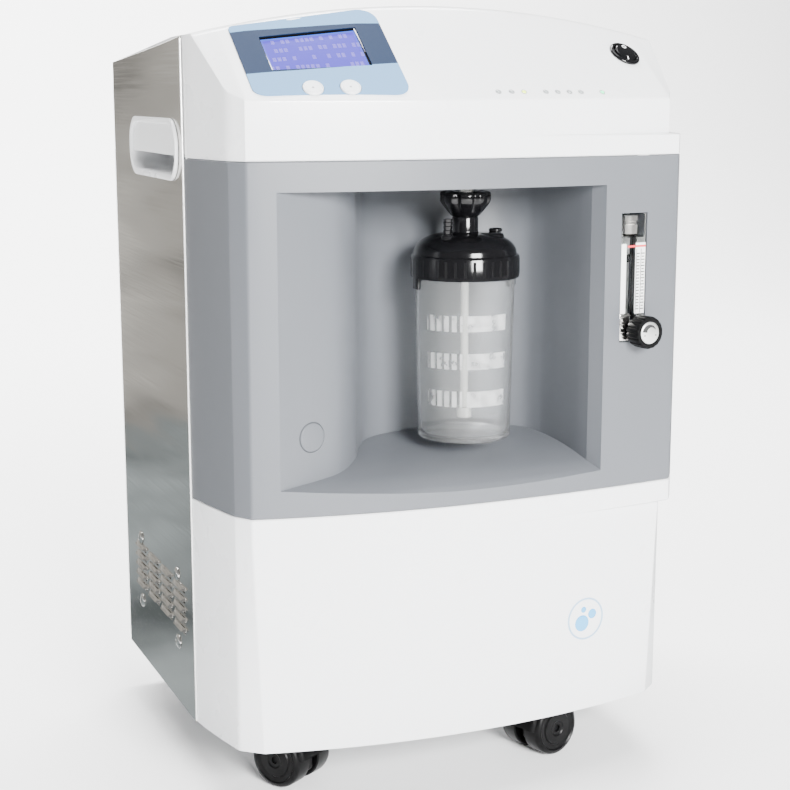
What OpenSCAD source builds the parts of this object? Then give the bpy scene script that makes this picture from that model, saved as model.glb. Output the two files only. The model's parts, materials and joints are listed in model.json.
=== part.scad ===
// Floor-standing oxygen concentrator on four twin-wheel casters.
// X is the width, Y runs from the front (-Y) to the back, Z is up and the floor is z = 0.
// The origin is the middle of the bounding box's footprint. All sizes are in millimetres.

/* [Cabinet] */
// Width over the two steel side panels
cabinet_w = 375; // [365:1:385]
// Height of the top cover's highest point
cabinet_h = 586; // [580:1:592]
// Height of the lower edge of the skirt above the floor
skirt_z = 53; // [51:1:55]
// Height of the joint between the lower and the middle front cover
lower_joint_z = 229; // [227:1:231]
// Height of the joint between the middle front cover and the top cover
upper_joint_z = 478; // [476:1:480]
// Height of the lower edge of the sloped control face
edge_z = 519; // [517:1:521]
// Wall of the moulded covers
wall = 3; // [2.5:0.5:3.5]
// Sheet thickness of the steel side panels
steel_t = 1.2; // [1:0.1:1.5]

/* [Alcove and humidifier] */
// Height of the alcove's ceiling
ceiling_z = 457; // [456:1:458]
// Sideways place of the humidifier's axis
bottle_x = 15; // [13:1:17]
// Front-to-back place of the humidifier's axis
bottle_y = -116; // [-117:1:-115]
// Radius of the humidifier lid's rim
lid_r = 40.5; // [40:0.5:41]
// Radius of the jar at its top
jar_top_r = 37.2; // [37:0.1:37.5]
// Radius of the jar at its foot
jar_foot_r = 34.8; // [34:0.1:35.5]
// Height of the jar's underside
jar_foot_z = 268; // [267:1:269]

/* [Flowmeter] */
// Radius of the flow knob
knob_r = 12.2; // [11.5:0.1:13]
// Height of the flow knob's axis
knob_z = 348; // [347:1:349]
// Height of the float at the flow that is set
float_z = 401.5; // [400:0.5:403]

/* [Casters] */
// Radius of the caster wheels
wheel_r = 22.25; // [21:0.25:23]
// Width of one caster wheel
wheel_w = 17; // [16:0.5:18]
// Distance from the swivel axis to the axle
caster_trail = 17; // [16:1:18]

/* [Hidden] */

$fn = 64;
gap = 0.3;                          // open joint between neighbouring pieces
half_w = cabinet_w / 2;
steel_in = half_w - steel_t;        // inner face of a steel side panel
steel_front_y = -72;
steel_back_y = 133;
cover_back_y = steel_front_y - 2.2; // where the front covers start, past the edge trims
knee = [half_w - 13.5, -139];        // end of the front covers' slanted flank
corner = [half_w - 22, -152.5];     // end of the narrow corner facet
front_y = -172.5;                     // middle of the bowed front
back_y = 179.6;
back_side = [half_w - 3, back_y - 31];
back_knee = [half_w - 9, back_y - 14.6];
back_turn = [half_w - 15, back_y - 3.6];
back_corner = [half_w - 24, back_y];
ridge_y = -90;
arch_drop = 22;                     // how far the arched top falls towards its sides
arch_half = half_w - 3.5;
deck_fall = 15;                     // how far the top falls from the ridge to the back
ledge_h = 17;                       // height of the stepped band above and below the grey cover
ledge_out = 8.7;                     // how far that step stands out at its right end
arc_n = 12;                         // steps along the bowed front
side_n = 3;                         // steps along the slanted flank

// ---------- small functions ----------
function mix(a, b, t) = a + (b - a) * t;
function bezier2(a, b, c, t) = mix(mix(a, b, t), mix(b, c, t), t);
function spline(p, i, t) =
    let (a = p[max(i - 1, 0)], b = p[i], c = p[i + 1], d = p[min(i + 2, len(p) - 1)])
    0.5 * (2 * b + (c - a) * t + (2 * a - 5 * b + 4 * c - d) * t * t
        + (3 * b - a - 3 * c + d) * t * t * t);
function smooth_path(p, n) = concat(
    [for (i = [0:len(p) - 2], k = [0:n - 1]) spline(p, i, k / n)], [p[len(p) - 1]]);
function flip_x(points) = [for (i = [len(points) - 1:-1:0]) [-points[i].x, points[i].y]];

// A closed shell over a stack of rings, all with the same number of points.
// Seen from the end of the stack, the rings run anticlockwise.
module loft(rings) {
    n = len(rings[0]);
    last = (len(rings) - 1) * n;
    points = [for (ring = rings, p = ring) p];
    sides = [for (j = [0:len(rings) - 2], i = [0:n - 1])
        let (a = j * n + i, b = j * n + (i + 1) % n)
        each [[a, a + n, b + n], [a, b + n, b]]];
    caps = [for (i = [1:n - 2]) each [[0, i, i + 1], [last, last + i + 1, last + i]]];
    polyhedron(points, concat(sides, caps), convexity = 6);
}

// A round tube along a path of points, closed at both ends.
module tube(path, r, sides = 8) {
    n = len(path);
    function tangent(i) = let (v = path[min(i + 1, n - 1)] - path[max(i - 1, 0)]) v / norm(v);
    function across(t) = let (c = cross(t, abs(t.z) > 0.9 ? [1, 0, 0] : [0, 0, 1])) c / norm(c);
    loft([for (i = [0:n - 1])
        let (t = tangent(i), u = across(t), w = cross(t, u))
        [for (k = [0:sides - 1]) path[i] + r * (cos(360 * k / sides) * u
            + sin(360 * k / sides) * w)]]);
}

module rounded_rect(w, h, r) {
    square([w - 2 * r, h], center = true);
    square([w, h - 2 * r], center = true);
    for (sx = [-1, 1], sy = [-1, 1])
        translate([sx * (w / 2 - r), sy * (h / 2 - r)])
            circle(r);
}

module ring_shape(r_out, r_in, h) {
    difference() {
        cylinder(r = r_out, h = h);
        translate([0, 0, -1])
            cylinder(r = r_in, h = h + 2);
    }
}

// Extrudes a shape drawn in (y, z) along +X.
module along_x(x0, x1) {
    translate([x0, 0, 0])
        rotate([90, 0, 90])
            linear_extrude(x1 - x0)
                children();
}

// ---------- plan of the front and rear covers ----------
function bow(x, mid_y, c) = mid_y + (c.y - mid_y) * pow(x / c.x, 2);
function flank(c) = concat(
    [for (i = [0:side_n]) bezier2([half_w - 0.8, cover_back_y], [half_w - 4.6, -104], knee,
        i / side_n)],
    [c]);
function plan_line(c, mid_y) = concat(
    [for (p = flank(c)) [-p.x, p.y]],
    [for (i = [1:arc_n - 1]) let (x = mix(-c.x, c.x, i / arc_n)) [x, bow(x, mid_y, c)]],
    [for (i = [len(flank(c)) - 1:-1:0]) flank(c)[i]]);
// The stepped band grows from nothing at the middle to its full depth at the right corner.
function stepped(p, out) =
    let (k = out * pow(max(0, p.x) / corner.x, 2) * min(1, max(0, (cover_back_y - p.y) / 60)))
    p + k * [0.53, -0.85];
function band_front(x) =
    let (q = x - 0.5 * ledge_out * pow(x / corner.x, 2))
    stepped([q, bow(q, front_y, corner)], ledge_out).y;
function inset(p, t) = [p.x * (1 - t / 176), p.y + t];
function front_ring(z, t = 0, out = 0, c = corner, mid_y = front_y) =
    [for (p = plan_line(c, mid_y)) let (q = inset(stepped(p, out), t)) [q.x, q.y, z]];

function back_half(t) = [[half_w - 0.8 - t, steel_back_y + 0.4 - (t > 0 ? 3 : 0)],
    back_side - [t, 0], back_knee - [t, t * 0.4], back_turn - [t, t] * 0.7,
    back_corner - [0, t]];
function back_ring(z, t) = [for (p = concat(
    back_half(t), flip_x(back_half(t)))) [p.x, p.y, z]];

// ---------- control face of the top cover ----------
function ridge_z(x) = cabinet_h - arch_drop * pow(x / arch_half, 2);
function face_front(x) = bow(x, front_y, corner);
function face_at(x, v) = mix([x, face_front(x), edge_z], [x, ridge_y, ridge_z(x)], v);
function face_normal(x, v) =
    let (c = cross(face_at(x + 1, v) - face_at(x - 1, v), face_at(x, 1) - face_at(x, 0)))
    c / norm(c);

// A slab that follows the control face, between two heights above it.
module face_slab(x0, x1, v0, v1, low, high, steps = 9) {
    loft([for (i = [0:steps])
        let (x = mix(x0, x1, i / steps), n = face_normal(x, 0.5))
        [face_at(x, v0) + low * n, face_at(x, v1) + low * n,
         face_at(x, v1) + high * n, face_at(x, v0) + high * n]]);
}

// Stands children on the control face, with their Z along its outward normal.
module on_face(x, v) {
    n = face_normal(x, v);
    translate(face_at(x, v))
        rotate([0, acos(n.z), atan2(n.y, n.x)])
            rotate([0, 0, -atan2(n.y, n.x)])
                children();
}

lcd_x = [-139.5, -69];
lcd_v = [0.355, 0.77];
overlay_x = [-158, -49.5];
overlay_v = [0.045, 0.965];
button_places = [[-117, 0.13], [-91, 0.13]];
button_r = 7.8;
button_stem = 6.2;                  // stands 1.7 mm proud and travels 0.8 mm
switch_place = [147, 0.61];
switch_r = 12.4;
rocker_r = 8.8;
rocker_tilt = 8;
led_v = 0.075;
led_xs = [16.5, 27, 37, 55, 65, 75, 85, 104];

// ---------- side panels ----------
function steel_top(y) = let (t = (y - steel_front_y) / (steel_back_y - steel_front_y))
    ridge_z(half_w) - gap - deck_fall * pow(max(0, t), 0.9);
handle_y = 8;
handle_z = 483;
handle_w = 144;
handle_h = 45;
louvre_cols = 4;
louvre_rows = 5;
louvre_y0 = -35.5;
louvre_z0 = 117;
louvre_pitch = [39.5, 8.2];
louvre_size = [27, 3];
side_screws = [[-28.5, 157.8], [84.6, 157.8], [-28.5, 103.5], [84.6, 103.5]];
rear_screws = [[-150, 80], [150, 80], [-150, 462], [150, 462]];
screw_r = 2;
head_r = 5;

module side_outline() {
    steps = 8;
    polygon(concat(
        [[steel_front_y, skirt_z], [steel_back_y, skirt_z]],
        [for (i = [steps:-1:0])
            let (y = mix(steel_front_y, steel_back_y, i / steps)) [y, steel_top(y)]]));
}

module louvre_hood() {
    // the pressed hood over one slot, in (x outwards, z) along y
    rotate([90, 0, 0])
        linear_extrude(louvre_size.x, center = true)
            polygon([[0, 1], [2.2, -1.2], [2.6, -1.2], [2.6, -0.6], [0.6, 2.4], [0, 2.4]]);
}

module side_panel() {
    difference() {
        along_x(steel_in, half_w)
            difference() {
                side_outline();
                translate([handle_y, handle_z])
                    rounded_rect(handle_w - 6, handle_h - 6, 17);
                for (p = side_screws)
                    translate(p)
                        circle(screw_r + 0.2);
                for (i = [0:louvre_cols - 1], j = [0:louvre_rows - 1])
                    translate([louvre_y0 + i * louvre_pitch.x, louvre_z0 + j * louvre_pitch.y])
                        square(louvre_size, center = true);
            }
    }
    for (i = [0:louvre_cols - 1], j = [0:louvre_rows - 1])
        translate([half_w - 0.01, louvre_y0 + i * louvre_pitch.x,
            louvre_z0 + j * louvre_pitch.y])
            louvre_hood();
}

module side_panel_left() {
    color("silver")
        mirror([1, 0, 0])
            side_panel();
}

module side_panel_right() {
    color("silver")
        side_panel();
}

module handle_cup() {
    cup_depth = 34;
    rim_out = 2.8;
    translate([half_w, handle_y, handle_z])
        rotate([90, 0, 90])
            difference() {
                union() {
                    translate([0, 0, gap])
                        linear_extrude(rim_out)
                            rounded_rect(handle_w, handle_h, 20);
                    translate([0, 0, -cup_depth])
                        linear_extrude(cup_depth + 1)
                            rounded_rect(handle_w - 8, handle_h - 8, 16);
                }
                translate([0, 0, -cup_depth + wall])
                    linear_extrude(cup_depth + 5)
                        rounded_rect(handle_w - 14, handle_h - 14, 13);
            }
}

module handle_cup_left() {
    color("white")
        mirror([1, 0, 0])
            handle_cup();
}

module handle_cup_right() {
    color("white")
        handle_cup();
}

module edge_trims() {
    color("gainsboro")
        for (s = [-1, 1])
            translate([s * (half_w - 0.65), steel_front_y - 1, (skirt_z + ridge_z(half_w)) / 2])
                cube([1.5, 1.5, ridge_z(half_w) - skirt_z - 3], center = true);
}

// ---------- base and casters ----------
base_z = 62;
base_t = 2;
flange_h = 104;                     // the base's side flanges carry the side panels
front_lobe = [150, -143];
caster_front = [106, -98];
caster_rear = [130, 100];
stem_r = 5.5;
stem_top = base_z + 16;
socket_r = 9;
run = 0.05;                         // running clearance of axles and stems
caster_places = [[-caster_front.x, caster_front.y], caster_front,
    [-caster_rear.x, caster_rear.y], caster_rear];
// Direction from each swivel axis to its wheels, as an angle from +X
caster_angles = [123, 197, 70, 250];

module base_plate() {
    outline = [[-steel_in + gap, steel_front_y + 2], [-front_lobe.x, steel_front_y + 2],
        [-front_lobe.x, front_lobe.y], [front_lobe.x, front_lobe.y],
        [front_lobe.x, steel_front_y + 2], [steel_in - gap, steel_front_y + 2],
        [steel_in - gap, steel_back_y - 2], [-steel_in + gap, steel_back_y - 2]];
    color("darkgray")
        difference() {
            union() {
                translate([0, 0, base_z])
                    linear_extrude(base_t)
                        polygon(outline);
                for (s = [-1, 1])
                    translate([s * (steel_in - gap - 0.75), (steel_front_y + steel_back_y) / 2,
                        base_z + flange_h / 2])
                        cube([1.5, steel_back_y - steel_front_y - 4, flange_h], center = true);
                for (p = caster_places)
                    translate([p.x, p.y, base_z - 2])
                        cylinder(r = socket_r, h = 21);
            }
            for (p = caster_places)
                translate([p.x, p.y, base_z - 3])
                    cylinder(r = stem_r + run, h = 20);
            for (s = [-1, 1]) {
                for (p = side_screws)
                    translate([s * steel_in, p.x, p.y])
                        rotate([0, 90, 0])
                            cylinder(r = screw_r + 0.2, h = 8, center = true);
                // window behind the louvres
                translate([s * steel_in, 24, 130.5])
                    cube([8, 160, 42], center = true);
            }
        }
}

axle_r = 3;
fin_w = 9;
wheel_mid = fin_w / 2 + 0.5 + wheel_w / 2;

// One caster hood with its stem and axle; the wheels trail along +X.
module caster_hood() {
    hood_r = wheel_r + 3.5;
    axle = [caster_trail, 0, wheel_r];
    difference() {
        union() {
            // fin between the wheels
            translate(axle)
                rotate([90, 0, 0])
                    intersection() {
                        cylinder(r = hood_r, h = fin_w, center = true);
                        translate([-hood_r, -5, -fin_w])
                            cube([2 * hood_r, 2 * hood_r, 2 * fin_w]);
                    }
            // mudguard over both wheels
            translate(axle)
                rotate([90, 0, 0])
                    difference() {
                        intersection() {
                            cylinder(r = hood_r, h = 2 * wheel_w + fin_w - 6, center = true);
                            translate([-hood_r, 5, -30])
                                cube([2 * hood_r, hood_r, 60]);
                        }
                        cylinder(r = wheel_r + 1.2, h = 60, center = true);
                    }
            // stem boss and stem
            translate([0, 0, wheel_r])
                cylinder(r = 7.5, h = 31);
            translate([0, 0, wheel_r + 20])
                cylinder(r = stem_r, h = stem_top - wheel_r - 20);
        }
        // hole for the axle, and room for the wheels beside the boss
        translate(axle)
            rotate([90, 0, 0]) {
                cylinder(r = axle_r, h = 60, center = true);
                for (s = [-1, 1])
                    translate([0, 0, s * (fin_w / 2 + 20)])
                        cylinder(r = wheel_r + 1.2, h = 40, center = true);
            }
    }
    // axle, a pin pressed through the fin
    translate(axle)
        rotate([90, 0, 0])
            cylinder(r = axle_r, h = 2 * wheel_mid + wheel_w - 4, center = true);
}

module caster_wheel(side) {
    edge = 3.5;
    translate([caster_trail, side * wheel_mid, wheel_r])
        rotate([side * -90, 0, 0])
            difference() {
                rotate_extrude()
                    polygon(concat(
                        [[0, -wheel_w / 2], [wheel_r - 1, -wheel_w / 2],
                         [wheel_r, -wheel_w / 2 + 1]],
                        [for (a = [0:15:90]) [wheel_r - edge + edge * cos(a),
                            wheel_w / 2 - edge + edge * sin(a)]],
                        [[0, wheel_w / 2]]));
                translate([0, 0, -wheel_w / 2 - 1])
                    cylinder(r = axle_r + run, h = wheel_w);
            }
}

module at_caster(i) {
    translate([caster_places[i].x, caster_places[i].y, 0])
        rotate([0, 0, caster_angles[i]])
            children();
}

module caster_front_left() { color("#1a1a1a") at_caster(0) caster_hood(); }
module caster_front_right() { color("#1a1a1a") at_caster(1) caster_hood(); }
module caster_rear_left() { color("#1a1a1a") at_caster(2) caster_hood(); }
module caster_rear_right() { color("#1a1a1a") at_caster(3) caster_hood(); }
module wheel_front_left_a() { color("#101010") at_caster(0) caster_wheel(-1); }
module wheel_front_left_b() { color("#101010") at_caster(0) caster_wheel(1); }
module wheel_front_right_a() { color("#101010") at_caster(1) caster_wheel(-1); }
module wheel_front_right_b() { color("#101010") at_caster(1) caster_wheel(1); }
module wheel_rear_left_a() { color("#101010") at_caster(2) caster_wheel(-1); }
module wheel_rear_left_b() { color("#101010") at_caster(2) caster_wheel(1); }
module wheel_rear_right_a() { color("#101010") at_caster(3) caster_wheel(-1); }
module wheel_rear_right_b() { color("#101010") at_caster(3) caster_wheel(1); }

// ---------- front covers ----------
foot_corner = [half_w - 28.5, -151.5];
foot_y = -172;

module front_cover_lower() {
    top = lower_joint_z - gap / 2;
    step_z = lower_joint_z - ledge_h;
    color("white")
        difference() {
            loft([front_ring(skirt_z, 0, 0, foot_corner, foot_y), front_ring(step_z),
                front_ring(step_z + 0.5, 0, ledge_out), front_ring(top, 0, ledge_out)]);
            loft([front_ring(skirt_z + wall, wall, 0, foot_corner, foot_y),
                front_ring(step_z, wall), front_ring(step_z + 3, wall, ledge_out),
                front_ring(top + 5, wall, ledge_out)]);
            translate([0, 0, skirt_z - 1])
                linear_extrude(wall + 2)
                    polygon([for (p = front_ring(0, 11, 0, foot_corner, foot_y)) [p.x, p.y]]);
        }
}

// Open space of the alcove, seen from above and from the side.
alcove_plan = concat(
    [[-148.5, -205], [-145.5, -156.6]],
    smooth_path([[-119, -149.4], [-94, -139.5], [-75, -120], [-62, -95], [-46, -75], [-18, -65],
        [20, -62], [58, -66], [80, -78], [89, -95], [94, -122], [97, -144]], 3),
    [[99, -156], [104.8, -167.5], [104.8, -205]]);
alcove_side = concat(
    [[-205, 238]],
    smooth_path([[-173, 239.5], [-165, 245], [-149, 251.5], [-116, 258.5], [-55, 265]], 3),
    [[-40, 265], [-40, ceiling_z], [-205, ceiling_z]]);

module alcove_space(grow) {
    intersection() {
        translate([0, 0, 200])
            linear_extrude(ceiling_z - 200)
                offset(grow)
                    polygon(alcove_plan);
        along_x(-170, 130)
            offset(grow)
                polygon(alcove_side);
    }
}

flow_x = 130.5;
flow_turn = 6.5;                    // the stepped front's own slant at the flowmeter
flow_z = [340, 435.5];
flow_w = 23;
module at_flowmeter() {
    translate([flow_x, band_front(flow_x), 0])
        rotate([0, 0, flow_turn])
            children();
}

plug_x = -119;
plug_z = 284;
plug_r = 10.8;
module at_plug() {
    translate([plug_x, -149.4, plug_z])
        rotate([0, 0, 18.5])
            rotate([90, 0, 0])
                children();
}

module front_cover_middle() {
    low = lower_joint_z + gap / 2;
    high = upper_joint_z - gap / 2;
    color("#a9adb3")
        difference() {
            union() {
                difference() {
                    loft([front_ring(low, 0, ledge_out), front_ring(high, 0, ledge_out)]);
                    loft([front_ring(low - 5, wall, ledge_out),
                        front_ring(high + 5, wall, ledge_out)]);
                }
                intersection() {
                    union() {
                        loft([front_ring(low, 0.5, ledge_out),
                            front_ring(high, 0.5, ledge_out)]);
                        translate([-160, cover_back_y - 5, low])
                            cube([300, 40, high - low]);
                    }
                    alcove_space(wall);
                }
            }
            alcove_space(0);
            at_flowmeter()
                translate([-flow_w / 2 - gap, -10, flow_z[0] - gap])
                    cube([flow_w + 2 * gap, 20, flow_z[1] - flow_z[0] + 2 * gap]);
            at_plug()
                cylinder(r = plug_r + run, h = 30, center = true);
        }
}

module port_plug() {
    color("#9fa3a9")
        at_plug() {
            translate([0, 0, -3.8])
                cylinder(r = plug_r, h = 4.7);
            translate([0, 0, -5.2])
                cylinder(r = plug_r + 2, h = 1.5);
        }
}

// ---------- top cover ----------
station_xs = [for (x = [half_w - 1.6, half_w - 3.4, half_w - 6, half_w - 10, knee.x, corner.x,
    155, 135, 112, 88, 62, 34]) x];
function cover_front(x) = x <= corner.x ? face_front(x)
    : lookup(x, [[corner.x, corner.y], [knee.x, knee.y], [half_w - 8, -112],
        [half_w - 3, -88], [half_w - 0.8, cover_back_y]]);
function cover_back(x) = lookup(x, [back_corner, back_turn, back_knee, back_side,
    [half_w - 0.8, steel_back_y + 0.4]]);
function front_top(x) = x <= corner.x ? edge_z
    : min(ridge_z(x) - 1, lookup(cover_front(x), [[corner.y, edge_z], [knee.y, edge_z + 5],
        [ridge_y, ridge_z(half_w)]]));
function cover_station(x, t) =
    let (ax = abs(x), xi = x * (1 - t / 176), yf = cover_front(ax) + t,
        yb = cover_back(ax) - t, low = upper_joint_z + gap / 2 - (t > 0 ? 6 : 0),
        top = ridge_z(x) - t, rear = top - deck_fall, foot = front_top(ax) - t * 0.6,
        y1 = max(ridge_y - 8, yf + 1), y2 = max(ridge_y, yf + 3))
    [[xi, yf, low], [xi, yb, low], [xi, yb, rear - 16], [xi, yb - 5, rear - 5],
     [xi, yb - 17, rear], [xi, max(ridge_y + 12, yf + 10), top - 0.4], [xi, y2, top],
     [xi, y1, mix(foot, top, (y1 - yf) / (y2 - yf))], [xi, yf, foot]];
function all_stations(t) = [for (x = concat(
    [for (x = station_xs) -x], [0],
    [for (i = [len(station_xs) - 1:-1:0]) station_xs[i]])) cover_station(x, t)];

module top_cover() {
    band_top = upper_joint_z + ledge_h - 2;
    low = upper_joint_z + gap / 2;
    color("white")
        difference() {
            union() {
                loft(all_stations(0));
                intersection() {
                    loft([front_ring(low, 0, ledge_out), front_ring(band_top, 0, ledge_out),
                        front_ring(band_top + 0.5, 0, 0)]);
                    translate([-300, -300, 0])
                        cube([600, 300 - 76, 600]);
                }
            }
            loft(all_stations(wall));
            // the steel side panels stand beside the deck
            for (s = [-1, 1])
                translate([s * (steel_in - gap + 15), (steel_front_y + steel_back_y) / 2, 500])
                    cube([30, steel_back_y - steel_front_y + 4, 200], center = true);
            // openings of the control face
            face_slab(lcd_x[0], lcd_x[1], lcd_v[0], lcd_v[1], -8, 4);
            for (p = button_places)
                on_face(p.x, p.y)
                    cylinder(r = button_r + gap, h = 20, center = true);
            on_face(switch_place.x, switch_place.y)
                cylinder(r = switch_r - 1.4, h = 30, center = true);
            for (x = led_xs)
                on_face(x, led_v)
                    cylinder(r = 1.7, h = 20, center = true);
            // the deck's side flanges end above the handle cups
            for (s = [-1, 1])
                translate([s * (half_w - 6), (steel_front_y + steel_back_y) / 2, 500])
                    cube([12, steel_back_y - steel_front_y + 2.4, 60], center = true);
        }
}

module keypad_overlay() {
    color("#a9c6e8")
        difference() {
            face_slab(overlay_x[0], overlay_x[1], overlay_v[0], overlay_v[1], 0.25, 0.8);
            face_slab(lcd_x[0] + 1, lcd_x[1] - 1, lcd_v[0] + 0.01, lcd_v[1] - 0.01, -8, 4);
            for (p = button_places)
                on_face(p.x, p.y)
                    cylinder(r = button_r + gap, h = 20, center = true);
        }
}

module lcd_module() {
    color("#4a52d8") {
        face_slab(lcd_x[0] + 1.5, lcd_x[1] - 1.5, lcd_v[0] + 0.02, lcd_v[1] - 0.02, -6, -0.8);
        face_slab(lcd_x[0] - 4, lcd_x[1] + 4, lcd_v[0] - 0.06, lcd_v[1] + 0.06, -9, -4.6);
    }
}

module face_button(i) {
    color("whitesmoke")
        on_face(button_places[i].x, button_places[i].y) {
            translate([0, 0, -4.5])
                cylinder(r = button_r, h = button_stem);
            translate([0, 0, -6])
                cylinder(r = button_r + 1.6, h = 1.5);
        }
}

module button_left() { face_button(0); }
module button_right() { face_button(1); }

module switch_bezel() {
    color("black")
        on_face(switch_place.x, switch_place.y)
            difference() {
                union() {
                    translate([0, 0, gap])
                        cylinder(r = switch_r, h = 1.8);
                    translate([0, 0, -16])
                        cylinder(r = switch_r - 1.8, h = 17);
                }
                translate([0, 0, -9])
                    cylinder(r = rocker_r + 0.7, h = 20);
                rotate([0, 90, 0])
                    cylinder(r = 1.3 + run, h = 2 * rocker_r + 3.4, center = true);
            }
}

module power_rocker() {
    color("#161616")
        on_face(switch_place.x, switch_place.y) {
            rotate([rocker_tilt, 0, 0])
                difference() {
                    translate([0, 0, -4])
                        cylinder(r = rocker_r - 0.2, h = 7);
                    for (s = [-1, 1])
                        translate([0, s * 10, 3.4])
                            rotate([s * -9, 0, 0])
                                cube([30, 20, 2], center = true);
                }
            rotate([0, 90, 0])
                cylinder(r = 1.3, h = 2 * rocker_r + 3, center = true);
        }
}

module indicator_leds() {
    color("palegreen")
        for (x = led_xs)
            on_face(x, led_v) {
                translate([0, 0, -5])
                    cylinder(r = 1.5, h = 5.6);
            }
}

// ---------- oxygen outlet and humidifier ----------
spigot_r = 7.14;                    // outside of the 9/16 inch oxygen thread
spigot_low = 447.5;
module at_bottle() {
    translate([bottle_x, bottle_y, 0])
        children();
}

module outlet_plate() {
    color("#151515")
        difference() {
            translate([0, 0, ceiling_z + gap])
                linear_extrude(3)
                    intersection() {
                        offset(2)
                            polygon(alcove_plan);
                        union() {
                            polygon([for (p = front_ring(0, wall + 0.5)) [p.x, p.y]]);
                            translate([-160, cover_back_y - 5])
                                square([300, 40]);
                        }
                    }
            at_bottle()
                translate([0, 0, ceiling_z - 1])
                    cylinder(r = spigot_r + 0.2, h = 6);
        }
}

module oxygen_outlet() {
    color("silver")
        at_bottle()
            difference() {
                union() {
                    translate([0, 0, spigot_low])
                        cylinder(r = spigot_r, h = 26);
                    translate([0, 0, ceiling_z + 3 + 2 * gap])
                        cylinder(r = 13, h = 3, $fn = 6);
                }
                translate([0, 0, spigot_low - 1])
                    cylinder(r = 2.6, h = 30);
            }
}

nut_low = 433.8;
nut_top = 452;
module humidifier_nut() {
    color("#141414")
        at_bottle()
            difference() {
                rotate_extrude()
                    polygon([[5, nut_low], [10.5, nut_low], [12, nut_low + 2], [18.8, 444],
                        [18.8, 450.5], [17, nut_top], [5, nut_top]]);
                translate([0, 0, nut_low - 1])
                    cylinder(r = 6 + run, h = 30);
                translate([0, 0, nut_low + 3.4])
                    cylinder(r = spigot_r + run, h = 30);
                for (i = [0:7])
                    rotate([0, 0, 45 * i])
                        translate([21, 0, nut_low - 1])
                            cylinder(r = 4.6, h = 30);
            }
}

nipple = [-20.5, -13.8];
nipple_r = 3.4;
relief = [25, 0];
relief_r = 5.2;
jar_rim_z = 401.8;
lid_low = 389;
module humidifier_lid() {
    color("#141414")
        at_bottle()
            difference() {
                union() {
                    rotate_extrude()
                        polygon(concat(
                            [[36.6, lid_low], [lid_r, lid_low], [lid_r, 405.5]],
                            [for (a = [0:15:90])
                                [13 + (lid_r - 15) * cos(a), 407 + 14.5 * sin(a)]],
                            [[9.75, 421.8], [9.75, 433.5], [6, 433.5], [6, 438], [6.9, 438],
                             [6.9, 441], [4.5, 447.2], [2.4, 447.2], [2.4, 418.8]],
                            [for (a = [90:-15:0])
                                [12 + (lid_r - 17) * cos(a), 405.8 + 13 * sin(a)]],
                            [[35, 404.2], [36.6, 404.2]]));
                    translate([nipple.x, nipple.y, 415]) {
                        cylinder(r = nipple_r + 1.4, h = 6);
                        cylinder(r = nipple_r, h = 18);
                    }
                    for (s = [-1, 1])
                        translate([s * (lid_r - 1.5), 0, lid_low - 3.5])
                            cube([2.6, 9, 9], center = true);
                }
                translate([nipple.x, nipple.y, 400])
                    cylinder(r = 1.8, h = 40);
                translate([relief.x, relief.y, 405])
                    cylinder(r = 3, h = 30);
            }
}

module relief_valve() {
    color("#0c0c0c")
        at_bottle()
            translate([relief.x, relief.y, 0]) {
                translate([0, 0, 421.2])
                    cylinder(r = relief_r, h = 3);
                translate([0, 0, 409])
                    cylinder(r = 2.9, h = 13);
            }
}

module humidifier_jar() {
    t = 2.2;
    color("#d8dde0", 0.4)
        at_bottle()
            rotate_extrude()
                polygon([[0, jar_foot_z + 1], [jar_foot_r - 5, jar_foot_z + 1],
                    [jar_foot_r - 4, jar_foot_z], [jar_foot_r - 1.5, jar_foot_z],
                    [jar_foot_r, jar_foot_z + 2.5], [jar_top_r, lid_low - 3],
                    [jar_top_r, lid_low - 0.6], [36.5, lid_low - 0.3], [36.5, jar_rim_z],
                    [36.5 - t, jar_rim_z], [36.5 - t, lid_low], [jar_top_r - t - 0.6, lid_low - 5],
                    [jar_foot_r - t, jar_foot_z + 7], [jar_foot_r - t - 3, jar_foot_z + 4],
                    [0, jar_foot_z + 4]]);
}

module jar_gasket() {
    color("#d0d0c8")
        at_bottle()
            translate([0, 0, jar_rim_z + 0.3])
                ring_shape(36.3, 32.5, 1.8);
}

module dip_tube() {
    foot = jar_foot_z + 14;
    color("#e6e6e2")
        at_bottle() {
            translate([0, 0, foot + 8.2])
                ring_shape(2.9, 1.8, 418.6 - foot - 8.2);
            translate([0, 0, foot])
                ring_shape(5.5, 1.2, 8);
        }
}

// ---------- flowmeter ----------
tube_low = 360.2;
float_r = 3.1;
knob_x = 3.7;                       // the knob stands right of the float tube
module flowmeter_body() {
    color("#dfe6e8", 0.5)
        at_flowmeter()
            difference() {
                translate([-flow_w / 2, 1, flow_z[0]])
                    cube([flow_w, 20, flow_z[1] - flow_z[0]]);
                // float tube, top fitting's seat and valve bore
                translate([0, 9, tube_low])
                    cylinder(r = float_r + 0.4, h = 60);
                translate([0, 9, 417.5])
                    cylinder(r = 6.6, h = 30);
                translate([knob_x, 14, knob_z])
                    rotate([90, 0, 0])
                        cylinder(r = 3 + run, h = 20);
            }
}

module flowmeter_fittings() {
    color("silver")
        at_flowmeter() {
            translate([0, 9, 417.8])
                cylinder(r = 6.5, h = 18.6);
            for (z = [knob_z, 426])
                translate([0, 21.3, z])
                    rotate([-90, 0, 0])
                        ring_shape(4.2, 2, 14);
        }
}

module flowmeter_float() {
    color("#101010")
        at_flowmeter()
            translate([0, 9, float_z])
                sphere(r = float_r);
}

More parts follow.
